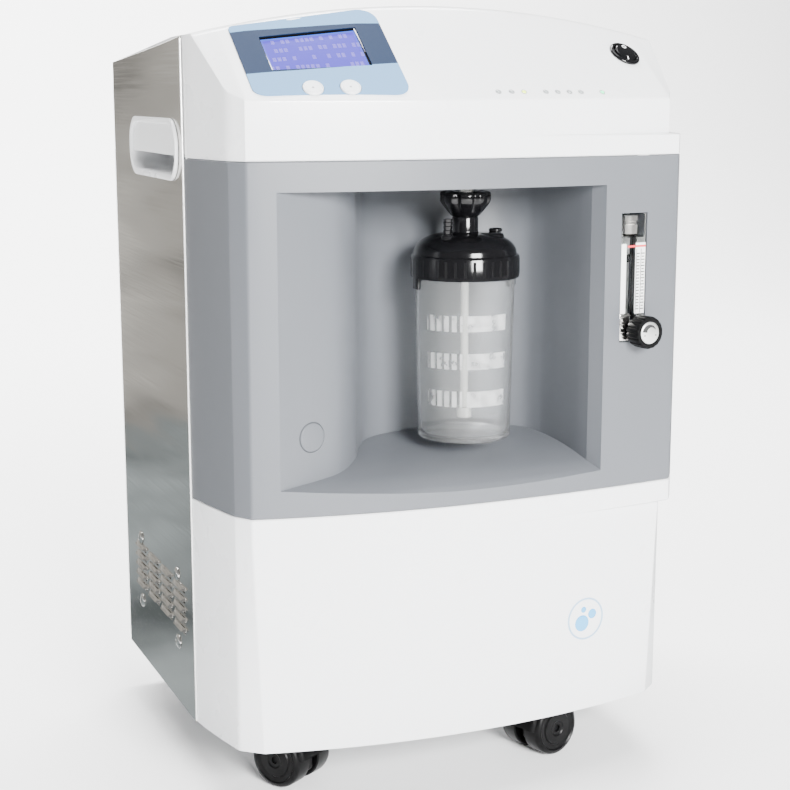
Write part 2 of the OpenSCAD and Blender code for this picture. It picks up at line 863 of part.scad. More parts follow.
knob_back = -3.6;
knob_len = 14;
cap_r = 8.3;
module flow_knob() {
    color("#181818")
        at_flowmeter()
            translate([knob_x, 0, knob_z])
                rotate([90, 0, 0])
                    difference() {
                        union() {
                            translate([0, 0, -knob_back])
                                cylinder(r = knob_r, h = knob_len);
                            translate([0, 0, -12.5])
                                cylinder(r = 3, h = 18);
                        }
                        translate([0, 0, -knob_back + knob_len - 1.2])
                            cylinder(r = cap_r + 0.1, h = 5);
                        for (i = [0:17])
                            rotate([0, 0, 20 * i])
                                translate([knob_r + 0.5, 0, -knob_back - 1])
                                    cylinder(r = 1.1, h = knob_len - 1.5, $fn = 24);
                    }
}

module knob_cap() {
    color("gainsboro")
        at_flowmeter()
            translate([knob_x, knob_back - knob_len + 1.1, knob_z])
                rotate([90, 0, 0])
                    cylinder(r = cap_r, h = 1);
}

// ---------- rear ----------
door_x = [-70, 70];
door_z = [300, 440];
door_t = 6;
inlet_x = 105;
inlet_z = 120;
module rear_cover() {
    low = skirt_z;
    high = upper_joint_z - gap / 2;
    mid = [(door_x[0] + door_x[1]) / 2, (door_z[0] + door_z[1]) / 2];
    size = [door_x[1] - door_x[0], door_z[1] - door_z[0]];
    color("white")
        difference() {
            union() {
                difference() {
                    loft([back_ring(low, 0), back_ring(high, 0)]);
                    loft([back_ring(low - 5, wall), back_ring(high + 5, wall)]);
                }
                // pocket that holds the foam filter behind its door
                translate([mid.x, back_y - 13, mid.y])
                    cube([size.x + 6, 24, size.y + 6], center = true);
            }
            translate([mid.x, back_y, mid.y])
                cube([size.x, 2 * (door_t + 1), size.y], center = true);
            translate([mid.x, back_y - 13, mid.y])
                cube([size.x - 10, 20, size.y - 10], center = true);
            for (i = [-3:3])
                translate([mid.x + 16 * i, back_y - 24, mid.y])
                    cube([8, 12, size.y - 30], center = true);
            // exhaust slots low in the back
            for (i = [-5:5])
                translate([-45 + 12 * i, back_y, 125])
                    cube([6, 20, 60], center = true);
            translate([inlet_x, back_y, inlet_z])
                cube([28, 20, 48], center = true);
            for (p = rear_screws)
                translate([p.x, back_y, p.y])
                    rotate([90, 0, 0])
                        cylinder(r = screw_r + 0.2, h = 20, center = true);
        }
}

module filter_door() {
    mid = (door_x[0] + door_x[1]) / 2;
    w = door_x[1] - door_x[0] - 2 * gap;
    h = door_z[1] - door_z[0] - 2 * gap;
    color("whitesmoke")
        difference() {
            translate([mid - w / 2, back_y - door_t, door_z[0] + gap])
                cube([w, door_t - 0.4, h]);
            translate([mid - w / 2 + 4, back_y - door_t - 1, door_z[0] + gap + 4])
                cube([w - 8, 4, h - 8]);
            for (i = [-5:5])
                translate([mid, back_y, (door_z[0] + door_z[1]) / 2 + 10 * i])
                    cube([w - 24, 20, 4], center = true);
        }
}

module filter_foam() {
    color("#303030")
        translate([(door_x[0] + door_x[1]) / 2, back_y - 14.5, (door_z[0] + door_z[1]) / 2])
            cube([door_x[1] - door_x[0] - 11, 12, door_z[1] - door_z[0] - 11], center = true);
}

module power_inlet() {
    color("#1c1c1c")
        translate([inlet_x, back_y - 1.6, inlet_z])
            difference() {
                union() {
                    translate([0, -14, 0])
                        cube([27.2, 30, 47.2], center = true);
                    translate([0, -4.4, 0])
                        cube([34, 2, 54], center = true);
                }
                translate([0, -6, 9])
                    cube([24.5, 17, 17], center = true);
                translate([0, -3, -14])
                    cube([16, 9, 9], center = true);
            }
    color("silver")
        for (dx = [-7, 0, 7])
            translate([inlet_x + dx, back_y - 8, inlet_z + 9 + (dx == 0 ? -2 : 2)])
                cube([2, 16.6, 4], center = true);
}

// ---------- inside ----------
box_x = 140;
box_y = [-128, 56];
box_z = [64.3, 208];
fan_c = [-72, -34];
shaft_z = 132;
shaft_y = -36;

module sound_box() {
    t = 5;
    color("#8d8f92")
        difference() {
            translate([-box_x, box_y[0], box_z[0]])
                cube([2 * box_x, box_y[1] - box_y[0], box_z[1] - box_z[0]]);
            translate([-box_x + t, box_y[0] + t, box_z[0] - 1])
                cube([2 * (box_x - t), box_y[1] - box_y[0] - 2 * t, box_z[1] - box_z[0] + 1 - t]);
            translate([fan_c.x, fan_c.y, box_z[1] - 10])
                cylinder(r = 56, h = 20);
            for (p = [caster_places[0], caster_places[1]])
                translate([p.x, p.y, box_z[0] - 1])
                    cylinder(r = socket_r + 1, h = 22);
            translate([40, 30, box_z[1] - 10])
                cylinder(r = 9, h = 20);
        }
}

module compressor_body() {
    color("#b9bcc0")
        translate([0, shaft_y, shaft_z])
            difference() {
                union() {
                    rotate([0, 90, 0])
                        cylinder(r = 44, h = 116, center = true);
                    for (s = [-1, 1]) {
                        translate([s * 73, 0, 0])
                            rotate([0, 90, 0])
                                cylinder(r = 34, h = 30.2, center = true);
                        translate([s * 73, 0, 20])
                            cylinder(r = 21, h = 32);
                        for (k = [0:4])
                            translate([s * 73, 0, 36 + 4 * k])
                                cylinder(r = 26, h = 2);
                        translate([s * 73, 0, 56])
                            cube([54, 54, 8], center = true);
                        translate([s * 50, 0, -44])
                            cube([22, 116, 6], center = true);
                    }
                }
                rotate([0, 90, 0])
                    cylinder(r = 6 + run, h = 220, center = true);
            }
}

module compressor_shaft() {
    color("dimgray")
        translate([0, shaft_y, shaft_z])
            rotate([0, 90, 0]) {
                cylinder(r = 6, h = 236, center = true);
                for (s = [-1, 1])
                    translate([0, 0, s * 104]) {
                        cylinder(r = 10, h = 14, center = true);
                        for (i = [0:6])
                            rotate([0, 0, i * 360 / 7])
                                translate([19, 0, 0])
                                    rotate([32, 0, 0])
                                        cube([24, 1.6, 14], center = true);
                    }
            }
}

spring_r = 9;
module compressor_springs() {
    low = base_z + base_t + gap;
    high = shaft_z - 47 - gap;
    wire = 1.5;
    turns = 4;
    steps = 12;
    color("gray")
        for (sx = [-1, 1], sy = [-1, 1])
            translate([sx * 50, shaft_y + sy * 48, 0])
                tube([for (i = [0:turns * steps])
                    [spring_r * cos(30 * i), spring_r * sin(30 * i),
                     mix(low + wire, high - wire, i / (turns * steps))]], wire, 6);
}

module fan_frame() {
    z = box_z[1] + gap;
    h = 25;
    color("#202020")
        translate([fan_c.x, fan_c.y, z])
            difference() {
                union() {
                    difference() {
                        translate([-60, -60, 0])
                            cube([120, 120, h]);
                        translate([0, 0, -1])
                            cylinder(r = 57, h = h + 2);
                    }
                    cylinder(r = 20, h = 3);
                    for (i = [0:3])
                        rotate([0, 0, 45 + 90 * i])
                            translate([0, -3, 0])
                                cube([58.5, 6, 3]);
                    cylinder(r = 5, h = 9);
                }
                translate([0, 0, -1])
                    cylinder(r = 2.5 + run, h = 30);
                for (sx = [-1, 1], sy = [-1, 1])
                    translate([sx * 52.5, sy * 52.5, -1])
                        cylinder(r = 2.15, h = h + 2);
            }
}

module fan_rotor() {
    z = box_z[1] + gap;
    color("#2c2c2c")
        translate([fan_c.x, fan_c.y, z]) {
            difference() {
                translate([0, 0, 4])
                    cylinder(r = 20, h = 19);
                translate([0, 0, 3])
                    cylinder(r = 17, h = 17);
            }
            translate([0, 0, 0.5])
                cylinder(r = 2.5, h = 21);
            for (i = [0:6])
                rotate([0, 0, i * 360 / 7])
                    translate([36.5, 0, 13.5])
                        rotate([38, 0, 0])
                            cube([36, 1.8, 17], center = true);
        }
}

bed_r = 46;
bed_top = 440;
bed_xs = [-112, -10];
bed_y = 105;
bed_low = 84;
module canister(r, low, high) {
    translate([0, 0, low])
        cylinder(r = r, h = high - low);
    for (z = [low + 10, high - 18])
        translate([0, 0, z])
            cylinder(r = r + 1.5, h = 8);
    translate([0, 0, high])
        cylinder(r = 8, h = 8);
}

module sieve_beds() {
    color("#c4c7ca")
        for (x = bed_xs)
            translate([x, bed_y, 0])
                canister(bed_r, bed_low, bed_top);
}

module product_tank() {
    color("#b4b8bc")
        translate([95, bed_y, 0])
            canister(40, bed_low, 330);
}

valve_at = [78, -18, 208];
module valve_block() {
    color("#c9a85a")
        translate(valve_at) {
            translate([-55, -26, gap])
                cube([110, 52, 26]);
            for (i = [0:3])
                translate([-39 + 26 * i, 0, 26])
                    cylinder(r = 10.5, h = 34);
        }
}

module cooling_coil() {
    turns = 3;
    steps = 20;
    color("#b87333")
        translate([fan_c.x, 6, 0])
            tube([for (i = [0:turns * steps])
                [44 * cos(18 * i), 44 * sin(18 * i), 246 + 12 * i / steps]], 4);
}

module intake_silencer() {
    color("#26282a")
        translate([130, 12, 300]) {
            cylinder(r = 30, h = 90);
            translate([0, 0, 90])
                cylinder(r = 9, h = 14);
        }
}

module control_board() {
    z = 486;
    color("#1f6b3a")
        translate([-120, -66, z])
            cube([180, 120, 1.6]);
    color("#303030") {
        translate([-100, -50, z + 1.6])
            cube([44, 36, 26]);
        translate([-30, -40, z + 1.6])
            cube([22, 22, 3]);
        translate([30, 10, z + 1.6])
            cylinder(r = 14, h = 34);
        for (i = [0:3])
            translate([-100 + 24 * i, 30, z + 1.6])
                cube([16, 8, 10]);
    }
}

hose_r = 5;
hose_routes = [
    // compressor head to the cooling coil
    [[44, -36, 183], [34, -33, 184], [32, -10, 186], [37, 18, 190], [40, 30, 200], [40, 30, 222],
     [28, 26, 238], [12, 10, 246], [-2, -20, 247], [-16, -34, 246], [-27, -24, 246],
     [-28, 1.5, 246]],
    // cooling coil to the valve block
    [[-28, 10.6, 282], [-24, 30, 282], [0, 36, 276], [24, 24, 262], [30, 3, 250],
     [30, 3, 234.7]],
    // left sieve bed to right sieve bed
    [[-112, 105, 449], [-104, 105, 462], [-61, 93, 468], [-18, 105, 462], [-10, 105, 449]],
    // product tank to the outlet spigot
    [[95, 105, 338.4], [95, 96, 380], [60, 20, 440], [36, -60, 468], [34, -96, 480],
     [17, -114, 482], [15, -116, 473.9]],
    // intake silencer to the compressor box
    [[130, 12, 404.4], [118, 20, 424], [60, 40, 400], [20, 44, 320], [10, 44, 240],
     [10, 44, 208.4]]];
module hoses() {
    color("#cfd3c4")
        for (route = hose_routes)
            tube(smooth_path(route, 3), hose_r - 1);
}

module panel_screw() {
    translate([0, 0, 0.1])
        cylinder(r1 = head_r, r2 = head_r - 1.6, h = 1.9);
    translate([0, 0, -7])
        cylinder(r = screw_r, h = 8);
}

module panel_screws() {
    color("gainsboro") {
        for (s = [-1, 1], p = side_screws)
            translate([s * half_w, p.x, p.y])
                rotate([0, s * 90, 0])
                    panel_screw();
        for (p = rear_screws)
            translate([p.x, back_y, p.y])
                rotate([-90, 0, 0])
                    panel_screw();
    }
}

base_plate();
side_panel_left();
side_panel_right();
rear_cover();
top_cover();
front_cover_middle();
front_cover_lower();
handle_cup_left();
handle_cup_right();
edge_trims();
keypad_overlay();
lcd_module();
button_left();
button_right();
switch_bezel();
power_rocker();
indicator_leds();
outlet_plate();
oxygen_outlet();
humidifier_nut();
humidifier_lid();
relief_valve();
humidifier_jar();
jar_gasket();
dip_tube();
flowmeter_body();
flowmeter_fittings();
flowmeter_float();
flow_knob();
knob_cap();
port_plug();
caster_front_left();
caster_front_right();
caster_rear_left();
caster_rear_right();
wheel_front_left_a();
wheel_front_left_b();
wheel_front_right_a();
wheel_front_right_b();
wheel_rear_left_a();
wheel_rear_left_b();
wheel_rear_right_a();
wheel_rear_right_b();
filter_door();
filter_foam();
power_inlet();
compressor_body();
compressor_shaft();
compressor_springs();
sound_box();
fan_frame();
fan_rotor();
sieve_beds();
product_tank();
valve_block();
cooling_coil();
control_board();
intake_silencer();
hoses();
panel_screws();
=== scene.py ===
"""Oxygen concentrator: covers, steel sides, humidifier, flowmeter, finishes and stage around the frame."""

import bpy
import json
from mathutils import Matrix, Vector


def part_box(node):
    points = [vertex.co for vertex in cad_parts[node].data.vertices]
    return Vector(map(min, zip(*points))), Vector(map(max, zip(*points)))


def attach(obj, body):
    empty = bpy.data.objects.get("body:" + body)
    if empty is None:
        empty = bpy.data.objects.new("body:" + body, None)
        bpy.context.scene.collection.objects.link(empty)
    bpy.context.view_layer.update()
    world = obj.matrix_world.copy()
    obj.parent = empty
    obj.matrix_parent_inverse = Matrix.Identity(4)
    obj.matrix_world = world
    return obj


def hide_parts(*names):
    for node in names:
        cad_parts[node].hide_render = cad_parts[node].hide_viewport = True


bl_info = {
    "name": "Oxygen concentrator",
    "version": (1, 0, 0),
    "blender": (4, 5, 0),
    "location": "View3D > Sidebar > Concentrator",
    "description": "Builds the covers, fittings and finishes of a floor-standing oxygen concentrator",
    "category": "Add Mesh",
}

import json
import math

import bmesh
import bpy
from mathutils import Matrix, Vector

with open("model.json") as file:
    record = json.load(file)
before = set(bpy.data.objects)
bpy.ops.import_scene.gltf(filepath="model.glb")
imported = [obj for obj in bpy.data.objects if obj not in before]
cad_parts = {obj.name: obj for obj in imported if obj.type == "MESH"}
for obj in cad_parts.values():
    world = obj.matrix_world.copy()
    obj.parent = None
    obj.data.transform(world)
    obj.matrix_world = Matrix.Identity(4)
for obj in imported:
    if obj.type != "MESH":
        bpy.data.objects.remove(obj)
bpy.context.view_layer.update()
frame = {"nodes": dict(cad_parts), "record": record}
MM = 0.001
TO_FRONT = Matrix.Rotation(math.pi / 2, 4, "X")
TO_BACK = Matrix.Rotation(-math.pi / 2, 4, "X")
SIDEWAYS = Matrix(((0, 0, 1, 0), (1, 0, 0, 0), (0, 1, 0, 0), (0, 0, 0, 1)))


def node_box(name):
    """A CAD node's lowest and highest corners, in millimetres."""
    low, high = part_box(name)
    return low / MM, high / MM


LOWER_LOW, LOWER_HIGH = node_box("front_cover_lower")
BAND_LOW, BAND_HIGH = node_box("front_cover_middle")
TOP_LOW, TOP_HIGH = node_box("top_cover")
BACK_LOW, BACK_HIGH = node_box("rear_cover")
STEEL_LOW, STEEL_HIGH = node_box("side_panel_right")
JAR_LOW, JAR_HIGH = node_box("humidifier_jar")
LID_LOW, LID_HIGH = node_box("humidifier_lid")
NUT_LOW, NUT_HIGH = node_box("humidifier_nut")
METER_LOW, METER_HIGH = node_box("flowmeter_body")
CUP_LOW, CUP_HIGH = node_box("handle_cup_right")

# ---------- cabinet, in millimetres ----------
SKIRT_Z = LOWER_LOW.z
HALF_W = BAND_HIGH.x + 0.8
FRONT_Y = -172.5
COVER_BACK_Y = STEEL_LOW.y - 2.2
BACK_Y = BACK_HIGH.y
EDGE_Z = 519.0
RIDGE_Y = -90.0
ARCH_DROP = 22.0
ARCH_HALF = HALF_W - 3.5
DECK_FALL = 15.0
LEDGE_H = 17.0
LEDGE_OUT = 8.7
KNEE = Vector((HALF_W - 13.5, -139.0))
CORNER = Vector((HALF_W - 22.0, -152.5))
FOOT_CORNER = Vector((HALF_W - 28.5, -151.5))
FOOT_Y = -172.0
BACK_SIDE = Vector((HALF_W - 3.0, BACK_Y - 31.0))
BACK_KNEE = Vector((HALF_W - 9.0, BACK_Y - 14.6))
BACK_TURN = Vector((HALF_W - 15.0, BACK_Y - 3.6))
BACK_CORNER = Vector((HALF_W - 24.0, BACK_Y))
CEILING_Z = 457.0
LCD_X = (-139.5, -69.0)
LCD_V = (0.355, 0.77)
OVERLAY_X = (-158.0, -49.5)
OVERLAY_V = (0.045, 0.965)
BUTTON_PLACES = {"left": (-117.0, 0.13), "right": (-91.0, 0.13)}
BUTTON_R = 7.8
SWITCH_PLACE = (147.0, 0.61)
SWITCH_R = 12.4
ROCKER_R = 8.8
LED_V = 0.075
LED_XS = (16.5, 27.0, 37.0, 55.0, 65.0, 75.0, 85.0, 104.0)
LEDS_LIT = {37.0: "amber", 104.0: "green"}
LID_FOOT = 389.0
BOTTLE = Vector(((JAR_LOW.x + JAR_HIGH.x) / 2, (JAR_LOW.y + JAR_HIGH.y) / 2, 0.0))
FLOW_X = 130.5
FLOW_TURN = math.radians(6.5)
KNOB_X = 3.7
KNOB_Z = 348.0
PLUG = Vector((-119.0, -149.4, 284.0))
PLUG_TURN = math.radians(18.5)


# ---------- points and curves ----------
def mix(a, b, t):
    return a + (b - a) * t


def lookup(x, table):
    """Straight-line value of a table of (x, value) pairs in rising order of x."""
    for (x0, y0), (x1, y1) in zip(table, table[1:]):
        if x <= x1:
            return mix(y0, y1, max(0.0, (x - x0) / (x1 - x0)))
    return table[-1][1]


def smooth_path(points, steps):
    """A Catmull-Rom curve through the points."""
    path = []
    last = len(points) - 1
    for i in range(last):
        a, b, c, d = (Vector(points[k]) for k in (max(i - 1, 0), i, i + 1, min(i + 2, last)))
        for k in range(steps):
            t = k / steps
            path.append(0.5 * (2 * b + (c - a) * t + (2 * a - 5 * b + 4 * c - d) * t * t
                               + (3 * b - a - 3 * c + d) * t ** 3))
    return path + [Vector(points[-1])]


def rounded(points, radii, steps=4):
    """A line with some of its inner points rounded; radii gives a radius for each such index."""
    line = []
    for i, p in enumerate(points):
        if i not in radii:
            line.append(Vector(p))
            continue
        before, here, after = Vector(points[i - 1]), Vector(p), Vector(points[(i + 1) % len(points)])
        back, on = before - here, after - here
        half = back.angle(on) / 2
        reach = min(radii[i] / max(math.tan(half), 0.01), 0.48 * min(back.length, on.length))
        start, end = here + back.normalized() * reach, here + on.normalized() * reach
        for k in range(steps + 1):
            t = k / steps
            line.append(start.lerp(here, t).lerp(here.lerp(end, t), t))
    return line


def rounded_all(points, radius, steps=4):
    """Every inner point of an open line rounded with one radius."""
    return rounded(points, {i: radius for i in range(1, len(points) - 1)}, steps)


def rect_outline(w, h, radii, steps=8):
    """A rounded rectangle about the origin, anticlockwise from its upper right corner, as (x, y) points."""
    outline = []
    if isinstance(radii, (int, float)):
        radii = (radii,) * 4
    for r, (cx, cy, a0) in zip(radii, ((1, 1, 0), (-1, 1, 90), (-1, -1, 180), (1, -1, 270))):
        for k in range(steps + 1):
            a = math.radians(a0 + 90 * k / steps)
            outline.append(Vector((cx * (w / 2 - r) + r * math.cos(a), cy * (h / 2 - r) + r * math.sin(a))))
    return outline


# ---------- plan of the covers ----------
def bow(x, mid_y=FRONT_Y, corner=CORNER):
    return mid_y + (corner.y - mid_y) * (x / corner.x) ** 2


def stepped(p, out):
    """Moves a plan point out by the stepped band, which grows towards the right corner."""
    side = min(1.0, max(0.0, (COVER_BACK_Y - p.y) / 60))
    k = out * (max(0.0, p.x) / CORNER.x) ** 2 * side
    return Vector((p.x + 0.53 * k, p.y - 0.85 * k))


def band_front(x):
    """Front-to-back place of the stepped front at a sideways place."""
    q = x - 0.5 * LEDGE_OUT * (x / CORNER.x) ** 2
    return stepped(Vector((q, bow(q))), LEDGE_OUT).y


def plan_line(corner=CORNER, mid_y=FRONT_Y, bow_steps=28):
    """The front covers' plan from the left steel panel round to the right one."""
    a, b = Vector((HALF_W - 0.8, COVER_BACK_Y)), Vector((HALF_W - 4.6, -104.0))
    flank = [a.lerp(b, k / 6).lerp(b.lerp(KNEE, k / 6), k / 6) for k in range(7)]
    front = [Vector((x, bow(x, mid_y, corner)))
             for x in (mix(-corner.x, corner.x, k / bow_steps) for k in range(bow_steps + 1))]
    left = [Vector((-p.x, p.y)) for p in flank]
    line = left + front + flank[::-1]
    first = len(left)
    last = first + bow_steps
    return rounded(line, {first - 1: 9.0, first: 4.0, last: 4.0, last + 1: 9.0})


def ring(z, inset=0.0, out=0.0, corner=CORNER, mid_y=FRONT_Y):
    """One level of a front cover."""
    points = (stepped(p, out) for p in plan_line(corner, mid_y))
    return [Vector((p.x * (1 - inset / 176), p.y + inset, z)) for p in points]


def back_ring(z, inset=0.0):
    side = [Vector((HALF_W - 0.8, STEEL_HIGH.y + 0.4)), BACK_SIDE, BACK_KNEE, BACK_TURN, BACK_CORNER]
    line = side + [Vector((0.0, BACK_Y))] + [Vector((-p.x, p.y)) for p in side[::-1]]
    line = rounded(line, {1: 20, 2: 12, 3: 12, 4: 12, 6: 12, 7: 12, 8: 12, 9: 20})
    return [Vector((p.x * (1 - inset / 176), p.y - inset, z)) for p in line]


# ---------- control face ----------
def ridge_z(x):
    return TOP_HIGH.z - ARCH_DROP * (x / ARCH_HALF) ** 2


def face_at(x, v):
    """A point on the sloping control face; v runs from its lower edge to the ridge."""
    return Vector((x, bow(x), EDGE_Z)).lerp(Vector((x, RIDGE_Y, ridge_z(x))), v)


def face_normal(x, v):
    return (face_at(x + 1, v) - face_at(x - 1, v)).cross(face_at(x, 1) - face_at(x, 0)).normalized()


def on_face(x, v):
    """Stands a piece on the control face, with its Z along the outward normal."""
    n = face_normal(x, v)
    turn = math.atan2(n.y, n.x)
    tilt = math.acos(n.z)
    return (Matrix.Translation(face_at(x, v)) @ Matrix.Rotation(turn, 4, "Z")
            @ Matrix.Rotation(tilt, 4, "Y") @ Matrix.Rotation(-turn, 4, "Z"))


def at_meter():
    return Matrix.Translation((FLOW_X, band_front(FLOW_X), 0)) @ Matrix.Rotation(FLOW_TURN, 4, "Z")


def at_plug():
    return Matrix.Translation(PLUG) @ Matrix.Rotation(PLUG_TURN, 4, "Z") @ TO_FRONT


# ---------- mesh helpers ----------
def skin(bm, sections, closed=False):
    """Extrudes a line of points through a row of sections and returns its last row of vertices."""
    row = [bm.verts.new(p) for p in sections[0]]
    pairs = list(zip(row, row[1:]))
    if closed:
        pairs.append((row[-1], row[0]))
    edges = [bm.edges.new(pair) for pair in pairs]
    for section in sections[1:]:
        made = bmesh.ops.extrude_edge_only(bm, edges=edges)["geom"]
        fresh = {g for g in made if isinstance(g, bmesh.types.BMVert)}
        edges = [g for g in made if isinstance(g, bmesh.types.BMEdge)
                 and g.verts[0] in fresh and g.verts[1] in fresh]
        row = [next(e.other_vert(v) for e in v.link_edges if e.other_vert(v) in fresh) for v in row]
        for vert, point in zip(row, section):
            vert.co = point
    return row


def cap_ends(bm):
    """Closes every open end with one face."""
    bmesh.ops.holes_fill(bm, edges=[e for e in bm.edges if e.is_boundary], sides=0)


def lathe(profile, steps=64, matrix=Matrix()):
    """Turns a profile of (radius, height) points about Z."""
    bm = bmesh.new()
    verts = [bm.verts.new((r, 0, z)) for r, z in profile]
    edges = [bm.edges.new(pair) for pair in zip(verts, verts[1:])]
    bmesh.ops.spin(bm, geom=verts + edges, cent=(0, 0, 0), axis=(0, 0, 1), angle=math.tau,
                   steps=steps, use_merge=True)
    bmesh.ops.remove_doubles(bm, verts=bm.verts, dist=0.001)
    bmesh.ops.transform(bm, matrix=matrix, verts=bm.verts)
    return bm


def rod(radius, reach, steps, matrix):
    """A round rod that reaches as far below its place as above it."""
    return lathe([(0, -reach), (radius, -reach), (radius, reach), (0, reach)], steps, matrix)


def block(size, matrix=Matrix(), bevel=0.0, segments=2):
    """A box about the origin, moved by the matrix, with its edges rounded."""
    bm = bmesh.new()
    bmesh.ops.create_cube(bm, size=1.0)
    bmesh.ops.scale(bm, vec=size, verts=bm.verts)
    if bevel:
        bmesh.ops.bevel(bm, geom=bm.edges[:], offset=bevel, segments=segments, profile=0.5,
                        affect="EDGES", material=-1, clamp_overlap=True)
    bmesh.ops.transform(bm, matrix=matrix, verts=bm.verts)
    return bm


def prism(outline, low, high, matrix=Matrix()):
    """A closed outline of (x, y) points extruded along Z."""
    bm = bmesh.new()
    skin(bm, [[Vector((p[0], p[1], z)) for p in outline] for z in (low, high)], closed=True)
    cap_ends(bm)
    bmesh.ops.transform(bm, matrix=matrix, verts=bm.verts)
    return bm


def gather(*parts):
    """Puts several meshes in one, each still its own solid."""
    whole = bmesh.new()
    for part in parts:
        bmesh.ops.recalc_face_normals(part, faces=part.faces)
        mesh = bpy.data.meshes.new("part")
        part.to_mesh(mesh)
        part.free()
        whole.from_mesh(mesh)
        bpy.data.meshes.remove(mesh)
    return whole


def as_object(bm, name):
    """Makes an object in metres from a mesh built in millimetres."""
    bmesh.ops.remove_doubles(bm, verts=bm.verts, dist=0.0005)
    bmesh.ops.recalc_face_normals(bm, faces=bm.faces)
    bmesh.ops.scale(bm, vec=(MM, MM, MM), verts=bm.verts)
    mesh = bpy.data.meshes.new(name)
    bm.to_mesh(mesh)
    bm.free()
    obj = bpy.data.objects.new(name, mesh)
    bpy.context.scene.collection.objects.link(obj)
    return obj


def settle(obj):
    """Turns the modifiers' result into the object's own mesh."""
    graph = bpy.context.evaluated_depsgraph_get()
    mesh = bpy.data.meshes.new_from_object(obj.evaluated_get(graph))
    obj.modifiers.clear()
    obj.data = mesh


def thicken(obj, wall):
    """Gives an open shell its wall, on the inner side of its faces."""
    shell = obj.modifiers.new("Wall", "SOLIDIFY")
    shell.thickness = wall * MM
    shell.offset = -1.0
    shell.use_quality_normals = True
    settle(obj)


def carve(obj, *tools, operation="DIFFERENCE"):
    """Cuts an object with closed tool meshes."""
    cutters = [as_object(tool, "tool") for tool in tools]
    for cutter in cutters:
        cut = obj.modifiers.new("Cut", "BOOLEAN")
        cut.operation = operation
        cut.solver = "EXACT"
        cut.object = cutter
    settle(obj)
    for cutter in cutters:
        bpy.data.objects.remove(cutter)


def soften(obj, width, segments=2, angle=35.0):
    """Rounds an object's sharp edges."""
    edge = obj.modifiers.new("Edges", "BEVEL")
    edge.width = width * MM
    edge.segments = segments
    edge.limit_method = "ANGLE"
    edge.angle_limit = math.radians(angle)
    edge.use_clamp_overlap = True
    settle(obj)


def faces_out(obj, sample):
    """Turns an open sheet's faces round if the one nearest to the sample point looks inwards."""
    point, outward = sample
    faces = obj.data.polygons
    near = min(faces, key=lambda f: (f.center - Vector(point) * MM).length)
    if near.normal.dot(Vector(outward)) < 0:
        obj.data.flip_normals()


def finish_piece(obj, body, look, nodes=(), angle=32.0):
    """Shades a piece, gives it its finish, and sets it riding on its body."""
    for face in obj.data.polygons:
        face.use_smooth = True
    obj.data.set_sharp_from_angle(angle=math.radians(angle))
    obj.data.materials.clear()
    obj.data.materials.append(look)
    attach(obj, body)
    if nodes:
        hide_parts(*nodes)
    return obj


# ---------- finishes ----------
def node_group(name, inputs, outputs):
    """An empty shader group with named sockets."""
    group = bpy.data.node_groups.new(name, "ShaderNodeTree")
    for label, kind, value in inputs:
        group.interface.new_socket(label, in_out="INPUT", socket_type=kind).default_value = value
    for label, kind in outputs:
        group.interface.new_socket(label, in_out="OUTPUT", socket_type=kind)
    return group, group.nodes.new("NodeGroupInput"), group.nodes.new("NodeGroupOutput")


